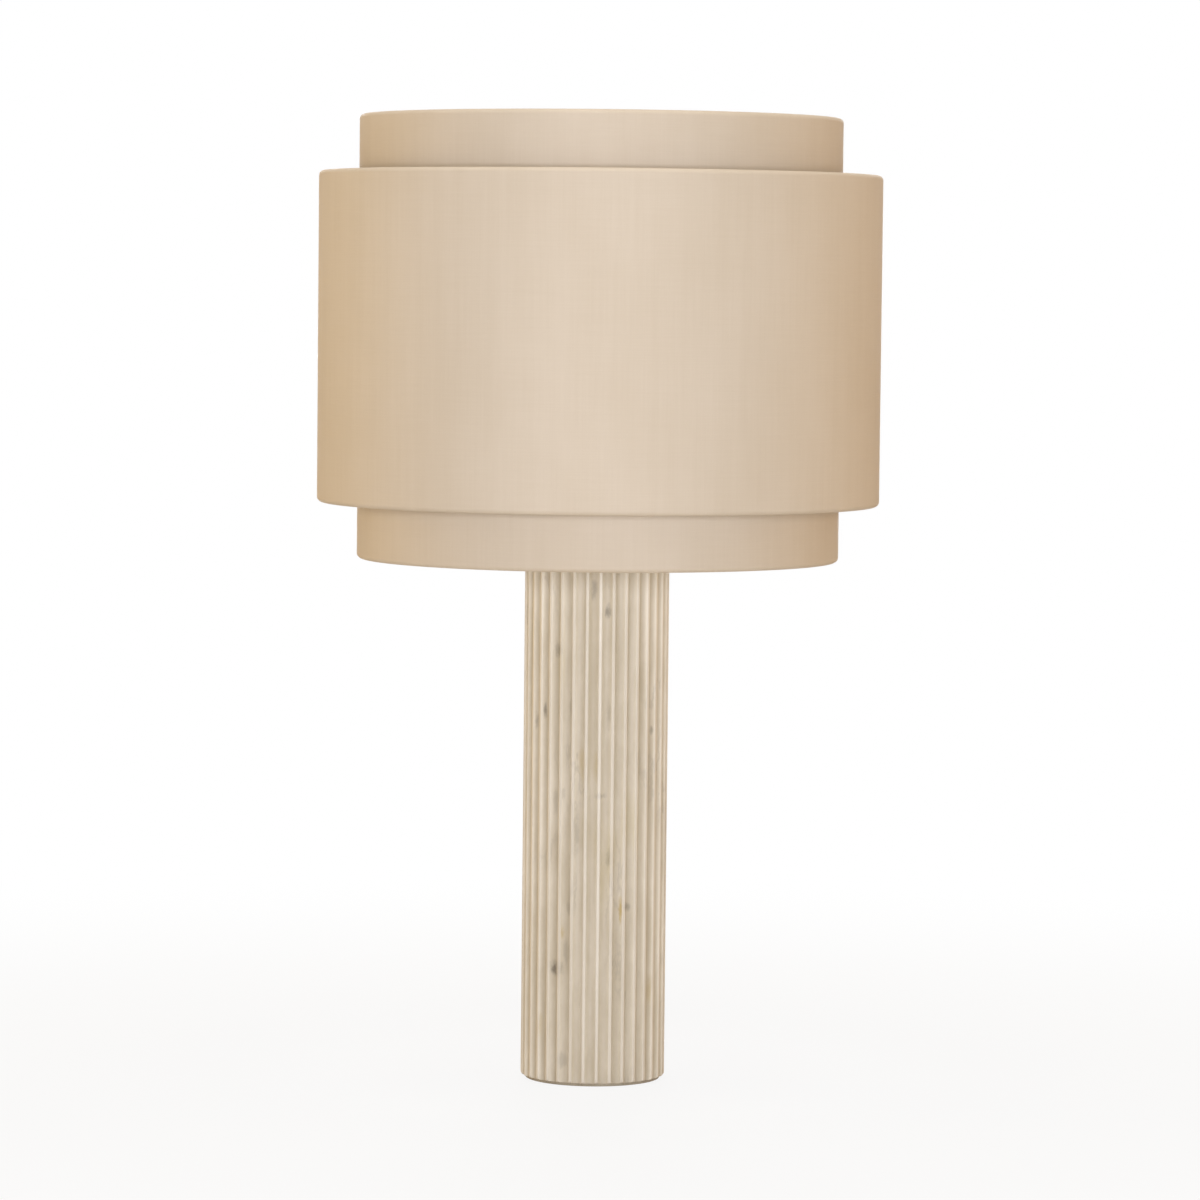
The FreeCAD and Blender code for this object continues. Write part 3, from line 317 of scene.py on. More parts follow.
def work(piece, recipe, **values):
    """Runs a recipe on a piece, with values for its inputs, and keeps the plain mesh."""
    modifier = piece.modifiers.new(recipe.name, "NODES")
    modifier.node_group = recipe
    for item in recipe.interface.items_tree:
        if item.in_out == "INPUT" and item.name in values:
            modifier[item.identifier] = values[item.name]
    view = bpy.context.evaluated_depsgraph_get()
    view.update()
    mesh = bpy.data.meshes.new_from_object(piece.evaluated_get(view))
    piece.modifiers.remove(modifier)
    piece.data = mesh


def polar(shape):
    """The radius, angle and height of a shape's points, and a way to put them at a new radius."""
    point = shape.put("GeometryNodeInputPosition")
    x, y, z = point.axes()
    radius = point.off_axis()

    def moved_to(new_radius):
        factor = new_radius / radius.of("MAXIMUM", 1e-6)
        spot = {"X": x * factor, "Y": y * factor, "Z": z}
        target = point.put("ShaderNodeCombineXYZ", {}, spot)
        return point.put("GeometryNodeSetPosition", {}, {"Geometry": shape, "Position": target})

    return radius, y.of("ARCTAN2", x), z, moved_to


# Fluting: where a point lies further out than the flutes' section, it comes in to that section,
# a hollow arc in the middle of each flute and the arc of a rounded ridge on both sides of it.
fluting, at = start_recipe(
    "fluting", flutes="Float", crest="Float", depth="Float", hollow="Float", ridge="Float",
    overrun="Float", first="Float", finish="Material",
)
radius, angle, height, moved_to = polar(at["shape"])
half_pitch = math.pi / at["flutes"]
aside = abs((angle - at["first"]).of("WRAP", half_pitch, -half_pitch))
hollow_out = at["crest"] - at["depth"] + at["hollow"]
ridge_out = at["crest"] - at["ridge"] + at["overrun"]
apart = at["hollow"] + at["ridge"]
ridge_aside = ((ridge_out * ridge_out + hollow_out * hollow_out - apart * apart)
               / (2 * ridge_out * hollow_out)).of("ARCCOSINE")
lean = (ridge_out * ridge_aside.of("SINE")).of(
    "ARCTAN2", ridge_out * ridge_aside.of("COSINE") - hollow_out)
joint_aside = (at["hollow"] * lean.of("SINE")).of(
    "ARCTAN2", hollow_out + at["hollow"] * lean.of("COSINE"))


def arc_radius(middle_out, arc, turned, side):
    """How far out an arc lies at an angle from its middle, on its near (-1) or far (1) side."""
    off = middle_out * turned.of("SINE")
    rest = (arc * arc - off * off).of("MAXIMUM", 0).of("SQRT")
    return middle_out * turned.of("COSINE") + side * rest


in_hollow = aside.of("LESS_THAN", joint_aside)
section = (in_hollow * arc_radius(hollow_out, at["hollow"], aside, -1)
           + (1 - in_hollow) * arc_radius(ridge_out, at["ridge"], aside - ridge_aside, 1))
end_recipe(moved_to(radius.of("MINIMUM", section.of("MINIMUM", at["crest"]))), at["finish"])


def round_the_axis(shape, count, first):
    """Copies of a shape evenly round the lamp's axis, the first one turned by an angle."""
    number = shape.put("GeometryNodeInputIndex")
    turned = shape.put("ShaderNodeCombineXYZ", {}, {"Z": first + number * (math.tau / count)})
    points = shape.put("GeometryNodePoints", {}, {"Count": count})
    values = {"Points": points, "Instance": shape, "Rotation": turned}
    return shape.put("GeometryNodeInstanceOnPoints", {}, values)


# Drilling: round holes through a wall, at a height, evenly round the axis from a first angle.
drilling, at = start_recipe(
    "drilling", radius="Float", height="Float", start="Float", stop="Float", count="Int",
    first="Float", finish="Material",
)
bit = at["shape"].put("GeometryNodeMeshCylinder", {}, {
    "Vertices": 48, "Radius": at["radius"], "Depth": at["stop"] - at["start"]})
middle = bit.put("ShaderNodeCombineXYZ", {}, {
    "X": (at["start"] + at["stop"]) / 2, "Z": at["height"]})
level = bit.put("GeometryNodeTransform", {}, {
    "Geometry": bit, "Translation": middle, "Rotation": (0, math.pi / 2, 0)})
bits = round_the_axis(level, at["count"], at["first"])
solid_bits = bits.put("GeometryNodeRealizeInstances", {}, {"Geometry": bits})
drilled = bits.put("GeometryNodeMeshBoolean", {"operation": "DIFFERENCE"}, {
    "Mesh 1": at["shape"], "Mesh 2": solid_bits})
end_recipe(drilled, at["finish"])

marble, shader, place = start_finish("honed_marble")
out_from_axis = place.off_axis() / MM
streaks = grain(place, 7, (1, 1, 22), detail=3, shift=2)
clouds = grain(place, 34, (1, 1, 2.6), detail=4, shift=9)
speckle = grain(place, 1.1, (1, 1, 1.6), detail=3, shift=5)
wander = grain(place, 26, (1, 1, 3.2), detail=5, rough=0.62, shift=14)
veins = 1 - abs(wander - 0.5).rise(0, 0.035)
vein_places = grain(place, 48, (1, 1, 1.5), detail=1, shift=21).rise(0.5, 0.66)
ochre_places = grain(place, 30, (1, 1, 4), detail=3, shift=33).rise(0.6, 0.74)
mottle = grain(place, 8, (1, 1, 2.4), detail=4, rough=0.6, shift=28)
tone = (streaks * 0.45 + clouds * 0.3 + mottle * 0.25).rise(0.36, 0.64)
stone = tone.tint(ink(209, 195, 169), ink(235, 223, 202))
stone = (ochre_places * 0.4).tint(stone, ink(208, 190, 140))
stone = (veins * vein_places * 0.3).tint(stone, ink(158, 148, 134))
# The marks that the photograph shows on the front: across and up, half width and half height,
# and how strong the colour is. Their middles lie halfway down the flutes.
GREY_MARKS = [
    (-1.5, 308, 2.2, 7, 0.5), (6.8, 295, 2.2, 5, 0.75), (-23.5, 271, 2.6, 5, 0.5),
    (-31.2, 233, 1.5, 5, 0.8), (-36.3, 226, 1.4, 5, 0.5), (-15.3, 235, 1.3, 10, 0.3),
    (34.6, 221, 1.3, 3.5, 0.55), (8.1, 230, 1.5, 10, 0.3), (4.3, 181, 5, 2.2, 0.34),
    (-24.3, 177, 2, 9, 0.28), (-11.2, 156, 2.6, 14, 0.3), (8.7, 142, 1.6, 7, 0.36),
    (20.6, 112, 2.8, 3.2, 0.5), (-15.6, 111, 1.7, 6, 0.4), (-24.4, 72, 1.9, 5, 1),
    (-22, 74, 5.5, 5, 0.4), (-16.7, 83, 2, 11, 0.3), (-19, 16, 4.5, 5, 0.3),
]
OCHRE_MARKS = [
    (-8.2, 201, 2.6, 10, 0.4), (0.5, 200, 2.4, 10, 0.3), (16.5, 110, 1.5, 8, 0.85),
    (-19.2, 95, 2, 4.5, 0.5), (-33.3, 35, 2.4, 8, 0.36), (34.7, 58, 2.4, 9, 0.36),
]
ragged = grain(place, 3.4, (1, 1, 2.2), detail=4, rough=0.65, shift=40)
for marks, stain in ((GREY_MARKS, ink(118, 109, 94)), (OCHRE_MARKS, ink(194, 166, 98))):
    deepest = None
    for across, up, half_width, half_height, depth in marks:
        spot = across * MM, -math.sqrt(MARK_OUT**2 - across**2) * MM, up * MM
        away = place.put("ShaderNodeVectorMath", {"operation": "SUBTRACT"}, {0: place, 1: spot})
        away = away.put("ShaderNodeVectorMath", {"operation": "DIVIDE"}, {
            0: away, 1: (half_width * MM, MARK_DEPTH * MM, half_height * MM)})
        length = away.put("ShaderNodeVectorMath", {"operation": "LENGTH"}, {0: away}, out="Value")
        mark = (1 - (length + (ragged - 0.5) * 2.2).rise(0.1, 1.3)) * depth
        deepest = deepest.of("MAXIMUM", mark) if deepest else mark
    stone = deepest.tint(stone, stain)
# Painted shade: the flutes' floors are painted darker. Painted highlight: the ridges are painted
# lighter, and their lower roughness is their polish.
flute_floor_shade = 1 - out_from_axis.rise(43, 44.4)
ridge_highlight_and_polish = out_from_axis.rise(44.1, 44.9)
stone = (flute_floor_shade * 0.3).tint(stone, ink(166, 150, 128))
stone = (ridge_highlight_and_polish * 0.5).tint(stone, ink(244, 233, 219))
connect(shader, {
    "Base Color": stone,
    "Roughness": 0.5 - ridge_highlight_and_polish * 0.12 + speckle * 0.1,
    "IOR": 1.48,
    "Normal": relief(speckle * 0.6 + streaks * 0.4, 0.05),
})
foot, top, _ = span("marble_column")
column_rows = [4.5, 21.5, 60, 120, 180, 240, 300]
outline = eased([
    (COLUMN_BORE, foot + RECESS_DEPTH),
    (RECESS, foot + RECESS_DEPTH),
    (RECESS, foot, 0.4),
    (CREST - CHAMFER, foot, 0.3),
    (CREST, foot + CHAMFER, 0.3),
    *[(CREST, row) for row in column_rows],
    (CREST, top - CHAMFER, 0.3),
    (CREST - CHAMFER, top, 0.3),
    (COLUMN_BORE, top, 0.4),
], steps=2)
column = turn("fluted_marble_column", outline, columns=FLUTES * 36)
work(
    column, fluting, flutes=float(FLUTES), crest=CREST * MM, depth=FLUTE_DEPTH * MM,
    hollow=FLUTE_HOLLOW * MM, ridge=RIDGE * MM, overrun=RIDGE_OVERRUN * MM, first=FIRST_FLUTE,
    finish=marble,
)
for radius, start, stop in ((CORD_CHANNEL, 10, 60), (BUSH_SEAT, BUSH_SEAT_FROM, 60)):
    work(
        column, drilling, radius=radius * MM, height=CORD_HEIGHT * MM, start=start * MM,
        stop=stop * MM, count=1, first=BACK, finish=marble,
    )
fit(column, marble, "base", "marble", "marble_column")

# ------------------------------------------------
# Cord bush. A short tube with a flange, moulded in stone-coloured plastic and pushed into the
# channel low at the back of the column. Its mouth is rounded, to spare what passes through.
# ------------------------------------------------

BUSH_BORE = 3.5
BUSH_FLANGE = 7
FLANGE_THICK = 1.5


def laid_back(piece, height):
    """Tips a turned piece over at a height, so that its upper end points to the back."""
    lift = Matrix.Translation((0, 0, height * MM))
    piece.data.transform(lift @ Matrix.Rotation(-BACK, 4, "X"))


bush_plastic, shader, place = start_finish("bush_plastic")
mould = grain(place, 0.5, detail=4, rough=0.6)
handling = grain(place, 5, detail=2, shift=3)
connect(shader, {
    "Base Color": handling.tint(ink(188, 173, 150), ink(204, 190, 168)),
    "Roughness": 0.42 + mould * 0.18,
    "Normal": relief(mould, 0.03),
})
low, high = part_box("cord_bush")
inner_end = low.y / MM
outer_end = high.y / MM
bush = turn("cord_bush_moulded", eased([
    (BUSH_BORE, inner_end, 0.4), (4.6, inner_end, 0.3), (4.6, inner_end + 2.5, 0.3),
    (5, inner_end + 3, 0.2), (5, outer_end - FLANGE_THICK, 0.1),
    (BUSH_FLANGE, outer_end - FLANGE_THICK, 0.2), (BUSH_FLANGE, outer_end, 0.7),
    (BUSH_BORE, outer_end, 0.9),
]), columns=72)
laid_back(bush, CORD_HEIGHT)
fit(bush, bush_plastic, "base", "bush_plastic", "cord_bush")

# ------------------------------------------------
# Tube, foot washer and foot nut. Zinc plated steel, hidden in the stone: the tube is screwed
# through the column, and the nut pulls the washer against the ceiling of the recess.
# ------------------------------------------------


def dress(material, *names):
    """Gives the CAD's own pieces a finish."""
    for name in names:
        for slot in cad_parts[name].material_slots:
            slot.material = material


zinc, shader, place = start_finish("zinc_plated_steel")
spangle = grain(place, 2.2, detail=2, shift=2)
scratches = grain(place, 0.25, (1, 1, 14), detail=3, shift=6)
connect(shader, {
    "Base Color": spangle.rise(0.35, 0.65).tint(ink(164, 165, 170), ink(192, 190, 184)),
    "Metallic": 1,
    "Roughness": 0.3 + spangle * 0.15 + scratches * 0.1,
    "Normal": relief(scratches, 0.01),
})
dress(zinc, "threaded_tube", "foot_washer", "foot_nut")

# ------------------------------------------------
# Column cap and its nut. The cap is a disc of brass, faced in the lathe, that covers the end of
# the stone. The nut on the tube clamps it down and carries the lampholder.
# ------------------------------------------------

TUBE_HOLE = 5.05
SPIGOT = 5.9
SPIGOT_LENGTH = 4

turned_brass, shader, place = start_finish("turned_brass")
wobble = grain(place, 6, detail=2, shift=8)
turns = place.off_axis() / MM * 21 + place.axes()[2] / MM * 17
tool_marks = (turns + wobble * 2).of("SINE") * 0.5 + 0.5
tarnish = grain(place, 11, detail=4, rough=0.65, shift=12)
connect(shader, {
    "Base Color": tarnish.rise(0.42, 0.7).tint(ink(206, 170, 104), ink(170, 132, 78)),
    "Metallic": 1,
    "Roughness": 0.24 + tarnish * 0.22,
    "Normal": relief(tool_marks, 0.008),
})
foot, top, rim = span("column_cap")
seat = foot + SPIGOT_LENGTH
cap = turn("brass_column_cap", eased([
    (TUBE_HOLE, foot, 0.2), (SPIGOT, foot, 0.3), (SPIGOT, seat), (rim, seat, 0.2), (rim, top, 0.9),
    (13, top, 0.2), (12.6, top - 0.3, 0.1), (12.2, top, 0.2), (TUBE_HOLE, top, 0.2),
]), columns=180)
fit(cap, turned_brass, "base", "brass", "column_cap", crease=50)

NUT_FLATS = 7
CHAMFER_FROM = 6.8
foot, top, rim = span("top_nut")
chamfer_slope = math.tan(math.radians(30))
nut = turn("brass_top_nut", [
    (TUBE_HOLE, foot), (CHAMFER_FROM, foot), (NUT_FLATS, foot + 0.2), (NUT_FLATS, top - 0.2),
    (CHAMFER_FROM, top), (TUBE_HOLE + 0.4, top), (TUBE_HOLE, top - 0.4),
], columns=96, hexed=(2, 3))
for vertex in nut.data.vertices:
    out = math.hypot(vertex.co.x, vertex.co.y) / MM
    if out > NUT_FLATS:
        cut = (out - NUT_FLATS) * chamfer_slope * MM
        vertex.co.z += cut if vertex.co.z < (foot + top) / 2 * MM else -cut
fit(nut, turned_brass, "base", "brass", "top_nut")

# ------------------------------------------------
# Lampholder dome. The lower half of the holder, moulded in black phenolic with a screwed neck.
# A grub screw at the back of the neck keeps it from turning on the tube.
# ------------------------------------------------

NECK = 8
DOME_THREAD = 17.4
GRUB_HEIGHT = 4
GRUB_HOLE = 1.55

phenolic, shader, place = start_finish("black_phenolic")
flow = grain(place, 9, (1, 1, 0.4), detail=4, rough=0.6, shift=3)
dust = grain(place, 0.6, detail=5, rough=0.7, shift=17)
rub = grain(place, 5, detail=3, shift=27).rise(0.45, 0.7)
connect(shader, {
    "Base Color": (dust.rise(0.5, 0.75) * 0.6).tint(ink(24, 22, 21), ink(52, 48, 44)),
    "Roughness": 0.2 + flow * 0.12 + rub * 0.14,
    "Normal": relief(flow, 0.04),
})
foot, top, rim = span("lampholder_dome")
dome = turn("lampholder_dome_moulded", eased([
    (TUBE_HOLE, foot, 0.3), (NECK, foot, 0.5), (NECK, foot + 8, 0.4), (17.4, foot + 10.6, 2),
    (rim, foot + 14, 2.4), (rim, top - 5, 0.1), (rim, top - 4.2, 0.1), (rim, top, 0.6),
    (DOME_THREAD, top, 0.3), (DOME_THREAD, foot + 18), (14, foot + 18, 0.3), (14, foot + 13),
    (TUBE_HOLE, foot + 13, 0.3),
]), columns=144)
work(
    dome, drilling, radius=GRUB_HOLE * MM, height=(foot + GRUB_HEIGHT) * MM, start=3 * MM,
    stop=12 * MM, count=1, first=BACK, finish=phenolic,
)
fit(dome, phenolic, "base", "phenolic", "lampholder_dome", crease=50)

low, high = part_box("lock_screw")
inner_end = low.y / MM
outer_end = high.y / MM
grub = turn("grub_screw", [
    (0, inner_end), (1.3, inner_end), (1.5, inner_end + 0.2), (1.5, outer_end - 0.2),
    (1.3, outer_end), (0.75, outer_end), (0.75, outer_end - 1.2), (0, outer_end - 1.4),
], columns=48, hexed=(5, 6))
laid_back(grub, foot + GRUB_HEIGHT)
fit(grub, zinc, "base", "steel", "lock_screw")

# ------------------------------------------------
# Core and contacts. White porcelain that stands on the dome's ledge, two brass terminal screws
# and the sprung strip that touches the bulb's tip. The skirt holds the core down.
# ------------------------------------------------

porcelain, shader, place = start_finish("white_porcelain")
bisque = grain(place, 0.7, detail=5, rough=0.6, shift=2)
stain = grain(place, 8, detail=3, shift=11)
connect(shader, {
    "Base Color": stain.rise(0.4, 0.7).tint(ink(236, 232, 222), ink(222, 214, 198)),
    "Roughness": 0.5 + bisque * 0.2,
    "Normal": relief(bisque, 0.03),
})
dress(porcelain, "lampholder_core")

pressed_brass, shader, place = start_finish("pressed_brass")
roll_marks = grain(place, 0.3, (12, 1, 1), detail=3, shift=4)
bloom = grain(place, 4, detail=3, shift=15)
connect(shader, {
    "Base Color": bloom.rise(0.4, 0.7).tint(ink(210, 176, 112), ink(182, 146, 92)),
    "Metallic": 1,
    "Roughness": 0.28 + roll_marks * 0.2,
    "Normal": relief(roll_marks, 0.01),
})
dress(pressed_brass, "terminal_screws", "centre_contact")

# ------------------------------------------------
# Lampholder skirt. A phenolic barrel, screwed into the dome, with a shoulder for the shade's hub
# and a thread outside for the shade ring. The brass screw shell is pushed in from above.
# ------------------------------------------------

SKIRT_BORE = 14.4
SHELL_BORE = 13.95
SKIRT_NECK = 17.35
RING_WALL = 19.5
RING_THREAD = 2.5
LAMP_THREAD = 3.629

# Thread cutting: points on a wall of one radius, within a band of heights, come in by a depth
# along a right-hand helix, and the thread runs out over half a pitch at both ends.
threading, at = start_recipe(
    "thread_cutting", pitch="Float", depth="Float", low="Float", high="Float", wall="Float",
    band="Float", finish="Material",
)
radius, angle, height, moved_to = polar(at["shape"])
phase = height / at["pitch"] - angle / math.tau
groove = 0.5 - (phase * math.tau).of("COSINE") * 0.5
runs_in = height.rise(at["low"], at["low"] + at["pitch"] / 2)
runs_out = 1 - height.rise(at["high"] - at["pitch"] / 2, at["high"])
on_wall = abs(radius - at["wall"]).of("LESS_THAN", at["band"])
end_recipe(moved_to(radius - at["depth"] * groove * runs_in * runs_out * on_wall), at["finish"])


def rows(radius, start, stop, count):
    """Outline points up or down a wall, close enough together for a thread."""
    return [(radius, start + (stop - start) * i / count) for i in range(1, count)]


foot, top, rim = span("lampholder_skirt")
ledge = foot + 8
shoulder = foot + 16
skirt = turn("lampholder_skirt_moulded", [
    *eased([(SKIRT_BORE, foot), (SKIRT_NECK, foot, 0.3), (SKIRT_NECK, ledge),
            (RING_WALL, ledge, 0.3), (RING_WALL, shoulder - 2), (rim, shoulder - 2, 0.5),
            (rim, shoulder, 0.5), (RING_WALL, shoulder)]),
    *rows(RING_WALL, shoulder, top - 0.8, 96),
    *eased([(RING_WALL, top, 0.8), (SKIRT_BORE, top, 0.6), (SKIRT_BORE, foot + 0.01)])[:-1],
], columns=96)
work(
    skirt, threading, pitch=RING_THREAD * MM, depth=0.9 * MM, low=(shoulder + 1) * MM,
    high=(top - 0.6) * MM, wall=RING_WALL * MM, band=0.2 * MM, finish=phenolic,
)
fit(skirt, phenolic, "base", "phenolic", "lampholder_skirt", crease=50)

foot, top, rim = span("screw_shell")
shell = turn("brass_screw_shell", [
    (10.85, foot), *eased([(rim, foot, 0.4), (rim, foot + 2)]), *rows(rim, foot + 2, top, 90),
    (rim, top), (SHELL_BORE, top), *rows(SHELL_BORE, top, foot + 2, 90),
    *eased([(SHELL_BORE, foot + 2), (SHELL_BORE, foot + 0.4, 0.3), (10.85, foot + 0.4)]),
], columns=96)
work(
    shell, threading, pitch=LAMP_THREAD * MM, depth=0.5 * MM, low=(foot + 3) * MM,
    high=(top - 0.5) * MM, wall=(rim + SHELL_BORE) / 2 * MM, band=0.4 * MM, finish=pressed_brass,
)
fit(shell, pressed_brass, "base", "brass", "screw_shell", crease=60)

# ------------------------------------------------
# Shade frame. Steel wire, bent, welded and powder coated white: a hub ring with three arms, three
# upright struts, spokes that carry the outer drum, and four hoops that the cloth turns in over.
# ------------------------------------------------

ARMS = 3
WIRE = 1.5
HOOP_WIRE = 2
ARM_RUN = 8
ARM_BEND = 10
ARM_FOOT = 327.5
HUB_BORE = 21
HUB_RIM = 25
WELD_SINK = 0.3
BEAD_IN = 0.4
INNER_HOOP = 147
OUTER_HOOP = 172
SPOKE_HEIGHTS = (362.5, 562.5)
SPOKE_FROM, SPOKE_TO = 148.2, 170.3

coated_wire, shader, place = start_finish("powder_coated_wire")
orange_peel = grain(place, 0.8, detail=2, rough=0.4)
yellowing = grain(place, 20, detail=2, shift=6)
connect(shader, {
    "Base Color": yellowing.tint(ink(238, 235, 228), ink(230, 224, 212)),
    "Roughness": 0.34 + orange_peel * 0.16,
    "Normal": relief(orange_peel, 0.03),
})

# Wire bending: a line of straight runs becomes a round wire with its corners bent to a radius,
# repeated evenly round the lamp's axis from a first angle.
bending, at = start_recipe(
    "wire_bending", wire="Float", bend="Float", count="Int", first="Float", finish="Material",
)
line = at["shape"].put("GeometryNodeMeshToCurve", {}, {"Mesh": at["shape"]})
bent = line.put("GeometryNodeFilletCurve", {"mode": "POLY"}, {
    "Curve": line, "Count": 9, "Radius": at["bend"], "Limit Radius": True})
round_section = bent.put("GeometryNodeCurvePrimitiveCircle", {}, {
    "Resolution": 16, "Radius": at["wire"]})
wire = bent.put("GeometryNodeCurveToMesh", {}, {
    "Curve": bent, "Profile Curve": round_section, "Fill Caps": True})
end_recipe(round_the_axis(wire, at["count"], at["first"]), at["finish"])


def wires(name, line, bend, node):
    """Bent wires from a line of (out, up) points in millimetres, one for each arm of the frame."""
    points = [(out * MM, 0, up * MM) for out, up in line]
    piece = form(name, points, edges=[(i, i + 1) for i in range(len(line) - 1)])
    work(
        piece, bending, wire=WIRE * MM, bend=bend * MM, count=ARMS, first=BACK,
        finish=coated_wire,
    )
    fit(piece, coated_wire, "shade", "frame_wire", node, crease=50)


foot, top, rim = span("shade_hub")
hub = turn("shade_hub_ring", eased([
    (HUB_BORE, foot, 0.3), (HUB_RIM, foot, 0.3), (HUB_RIM, top, 0.3), (HUB_BORE, top, 0.3),
]), columns=120)
fit(hub, coated_wire, "shade", "frame_wire", "shade_hub", crease=60)

arm_top = (foot + top) / 2
start = HUB_RIM - WELD_SINK
stop = INNER_HOOP - HOOP_WIRE + WELD_SINK
reach = stop - start - 2 * ARM_RUN
rise = 2 * ARM_BEND - (arm_top - ARM_FOOT)
slope = math.asin(2 * ARM_BEND / math.hypot(reach, rise)) - math.atan2(rise, reach)
corner = ARM_BEND * math.tan(slope / 2)
wires("spider_arm_wires", [
    (start, arm_top), (start + ARM_RUN + corner, arm_top),
    (stop - ARM_RUN - corner, ARM_FOOT), (stop, ARM_FOOT),
], ARM_BEND, "spider_arms")
strut_foot, strut_top, _ = span("frame_struts")
wires("upright_struts", [(INNER_HOOP, strut_foot), (INNER_HOOP, strut_top)], 1, "frame_struts")
for name, height in zip(("lower_spokes", "upper_spokes"), SPOKE_HEIGHTS):
    wires(f"{name}_wires", [(SPOKE_FROM, height), (SPOKE_TO, height)], 1, name)

# Hoop rolling: a ring of round wire on the lamp's axis, at a height.
rolling, at = start_recipe(
    "hoop_rolling", radius="Float", height="Float", wire="Float", finish="Material",
)
ring = at["shape"].put("GeometryNodeCurvePrimitiveCircle", {}, {
    "Resolution": 192, "Radius": at["radius"]})
round_section = ring.put("GeometryNodeCurvePrimitiveCircle", {}, {
    "Resolution": 16, "Radius": at["wire"]})
rolled = ring.put("GeometryNodeCurveToMesh", {}, {"Curve": ring, "Profile Curve": round_section})
lift = ring.put("ShaderNodeCombineXYZ", {}, {"Z": at["height"]})
raised = ring.put("GeometryNodeTransform", {}, {"Geometry": rolled, "Translation": lift})
end_recipe(raised, at["finish"])
for node, radius in (
    ("inner_lower_hoop", INNER_HOOP), ("inner_upper_hoop", INNER_HOOP),
    ("outer_lower_hoop", OUTER_HOOP), ("outer_upper_hoop", OUTER_HOOP),
):
    low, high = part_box(node)
    hoop = form(f"{node}_wire", [])
    work(
        hoop, rolling, radius=radius * MM, height=(low.z + high.z) / 2, wire=HOOP_WIRE * MM,
        finish=coated_wire,
    )
    fit(hoop, coated_wire, "shade", "frame_wire", node, crease=60)

# Welding: a small uneven bead on each point where two wires meet.
welding, at = start_recipe(
    "welding", least="Vector", most="Vector", seed="Int", finish="Material",
)
bead = at["shape"].put("GeometryNodeMeshIcoSphere", {}, {"Radius": 1, "Subdivisions": 3})
uneven = bead.put("FunctionNodeRandomValue", {"data_type": "FLOAT_VECTOR"}, {
    0: at["least"], 1: at["most"], "Seed": at["seed"]})
x, y, _ = bead.put("GeometryNodeInputPosition").axes()
turned = bead.put("ShaderNodeCombineXYZ", {}, {"Z": y.of("ARCTAN2", x)})
beads = bead.put("GeometryNodeInstanceOnPoints", {}, {
    "Points": at["shape"], "Instance": bead, "Scale": uneven, "Rotation": turned})
end_recipe(beads, at["finish"])
meetings = [
    (HUB_RIM + BEAD_IN, arm_top + 0.25),
    (INNER_HOOP, strut_foot + BEAD_IN), (INNER_HOOP, strut_top - BEAD_IN),
    *[(INNER_HOOP + WIRE, height) for height in SPOKE_HEIGHTS],
]
spots = []
for i in range(ARMS):
    facing = BACK + i * math.tau / ARMS
    for out, up in meetings:
        spots.append((out * math.cos(facing) * MM, out * math.sin(facing) * MM, up * MM))
welds = form("weld_beads", spots)
work(
    welds, welding, least=(0.0005, 0.0017, 0.0009), most=(0.0006, 0.0021, 0.0013), seed=5,
    finish=coated_wire,
)
fit(welds, coated_wire, "shade", "frame_wire", crease=80)

# ------------------------------------------------
# Liners. Stiff satin sheet that the cloth is glued to, rolled into a drum and lapped at the back.
# It keeps the drums round and spreads the light. The inner one is drilled for the spokes.
# ------------------------------------------------

LAP = 12
SHEET = 0.5
SPOKE_HOLE = 1.8

satin_sheet, shader, place = start_finish("satin_liner_sheet")
laid = place.put("ShaderNodeUVMap", {"uv_map": "cloth"})
satin = grain(laid, 1.4, (1, 3, 1), detail=3)
roll = grain(laid, 40, (1, 6, 1), detail=2, shift=5)
connect(shader, {
    "Base Color": roll.tint(ink(250, 246, 238), ink(243, 237, 226)),
    "Roughness": 0.38 + satin * 0.2,
    "Normal": relief(satin, 0.02),
})


def drum_columns(radius):
    """Angles round a drum from the back, close together at the two edges of the lap."""
    lap = math.degrees(LAP / radius)
    edge = math.degrees(0.15 / radius)
    even = [360 * i / 240 for i in range(240)]
    return sorted([a for a in even if a > lap + 0.5] + [0, edge, lap / 2, lap - edge, lap])


def lapped(piece, radius, thick):
    """Raises the outer skin of a drum by its own thickness where its end laps its beginning."""
    for vertex in piece.data.vertices:
        out = math.hypot(vertex.co.x, vertex.co.y) / MM
        turned = math.degrees(math.atan2(vertex.co.y, vertex.co.x)) - 90
        along = math.radians(turned % 360) * radius
        if out > radius - 0.6 * thick and 0.1 < along < LAP - 0.1:
            vertex.co.x *= 1 + thick / out
            vertex.co.y *= 1 + thick / out


for node, holes in (("inner_liner", SPOKE_HEIGHTS), ("outer_liner", ())):
    foot, top, rim = span(node)
    liner = turn(f"{node}_sheet", [
        (rim - SHEET, foot), (rim, foot), (rim, top), (rim - SHEET, top),
    ], columns=drum_columns(rim), unroll=rim)
    for height in holes:
        work(
            liner, drilling, radius=SPOKE_HOLE * MM, height=height * MM, start=140 * MM,
            stop=155 * MM, count=ARMS, first=BACK, finish=satin_sheet,
        )
    fit(liner, satin_sheet, "shade", "liner", node)
    flat = (math.tau * rim + LAP) * MM, (top - foot) * MM

# ------------------------------------------------
# Linen of the two drums. A fine plain weave glued round its liner, lapped at the back, and turned
# in over the wire hoops above and below, where it is glued down as a hem.
# ------------------------------------------------

HEM_ROUND = 3
HEM_IN = 5.5
HEM_LENGTH = 6.5
CLOTH = 0.5
LAP_STEP = 0.4
THREAD = 0.55

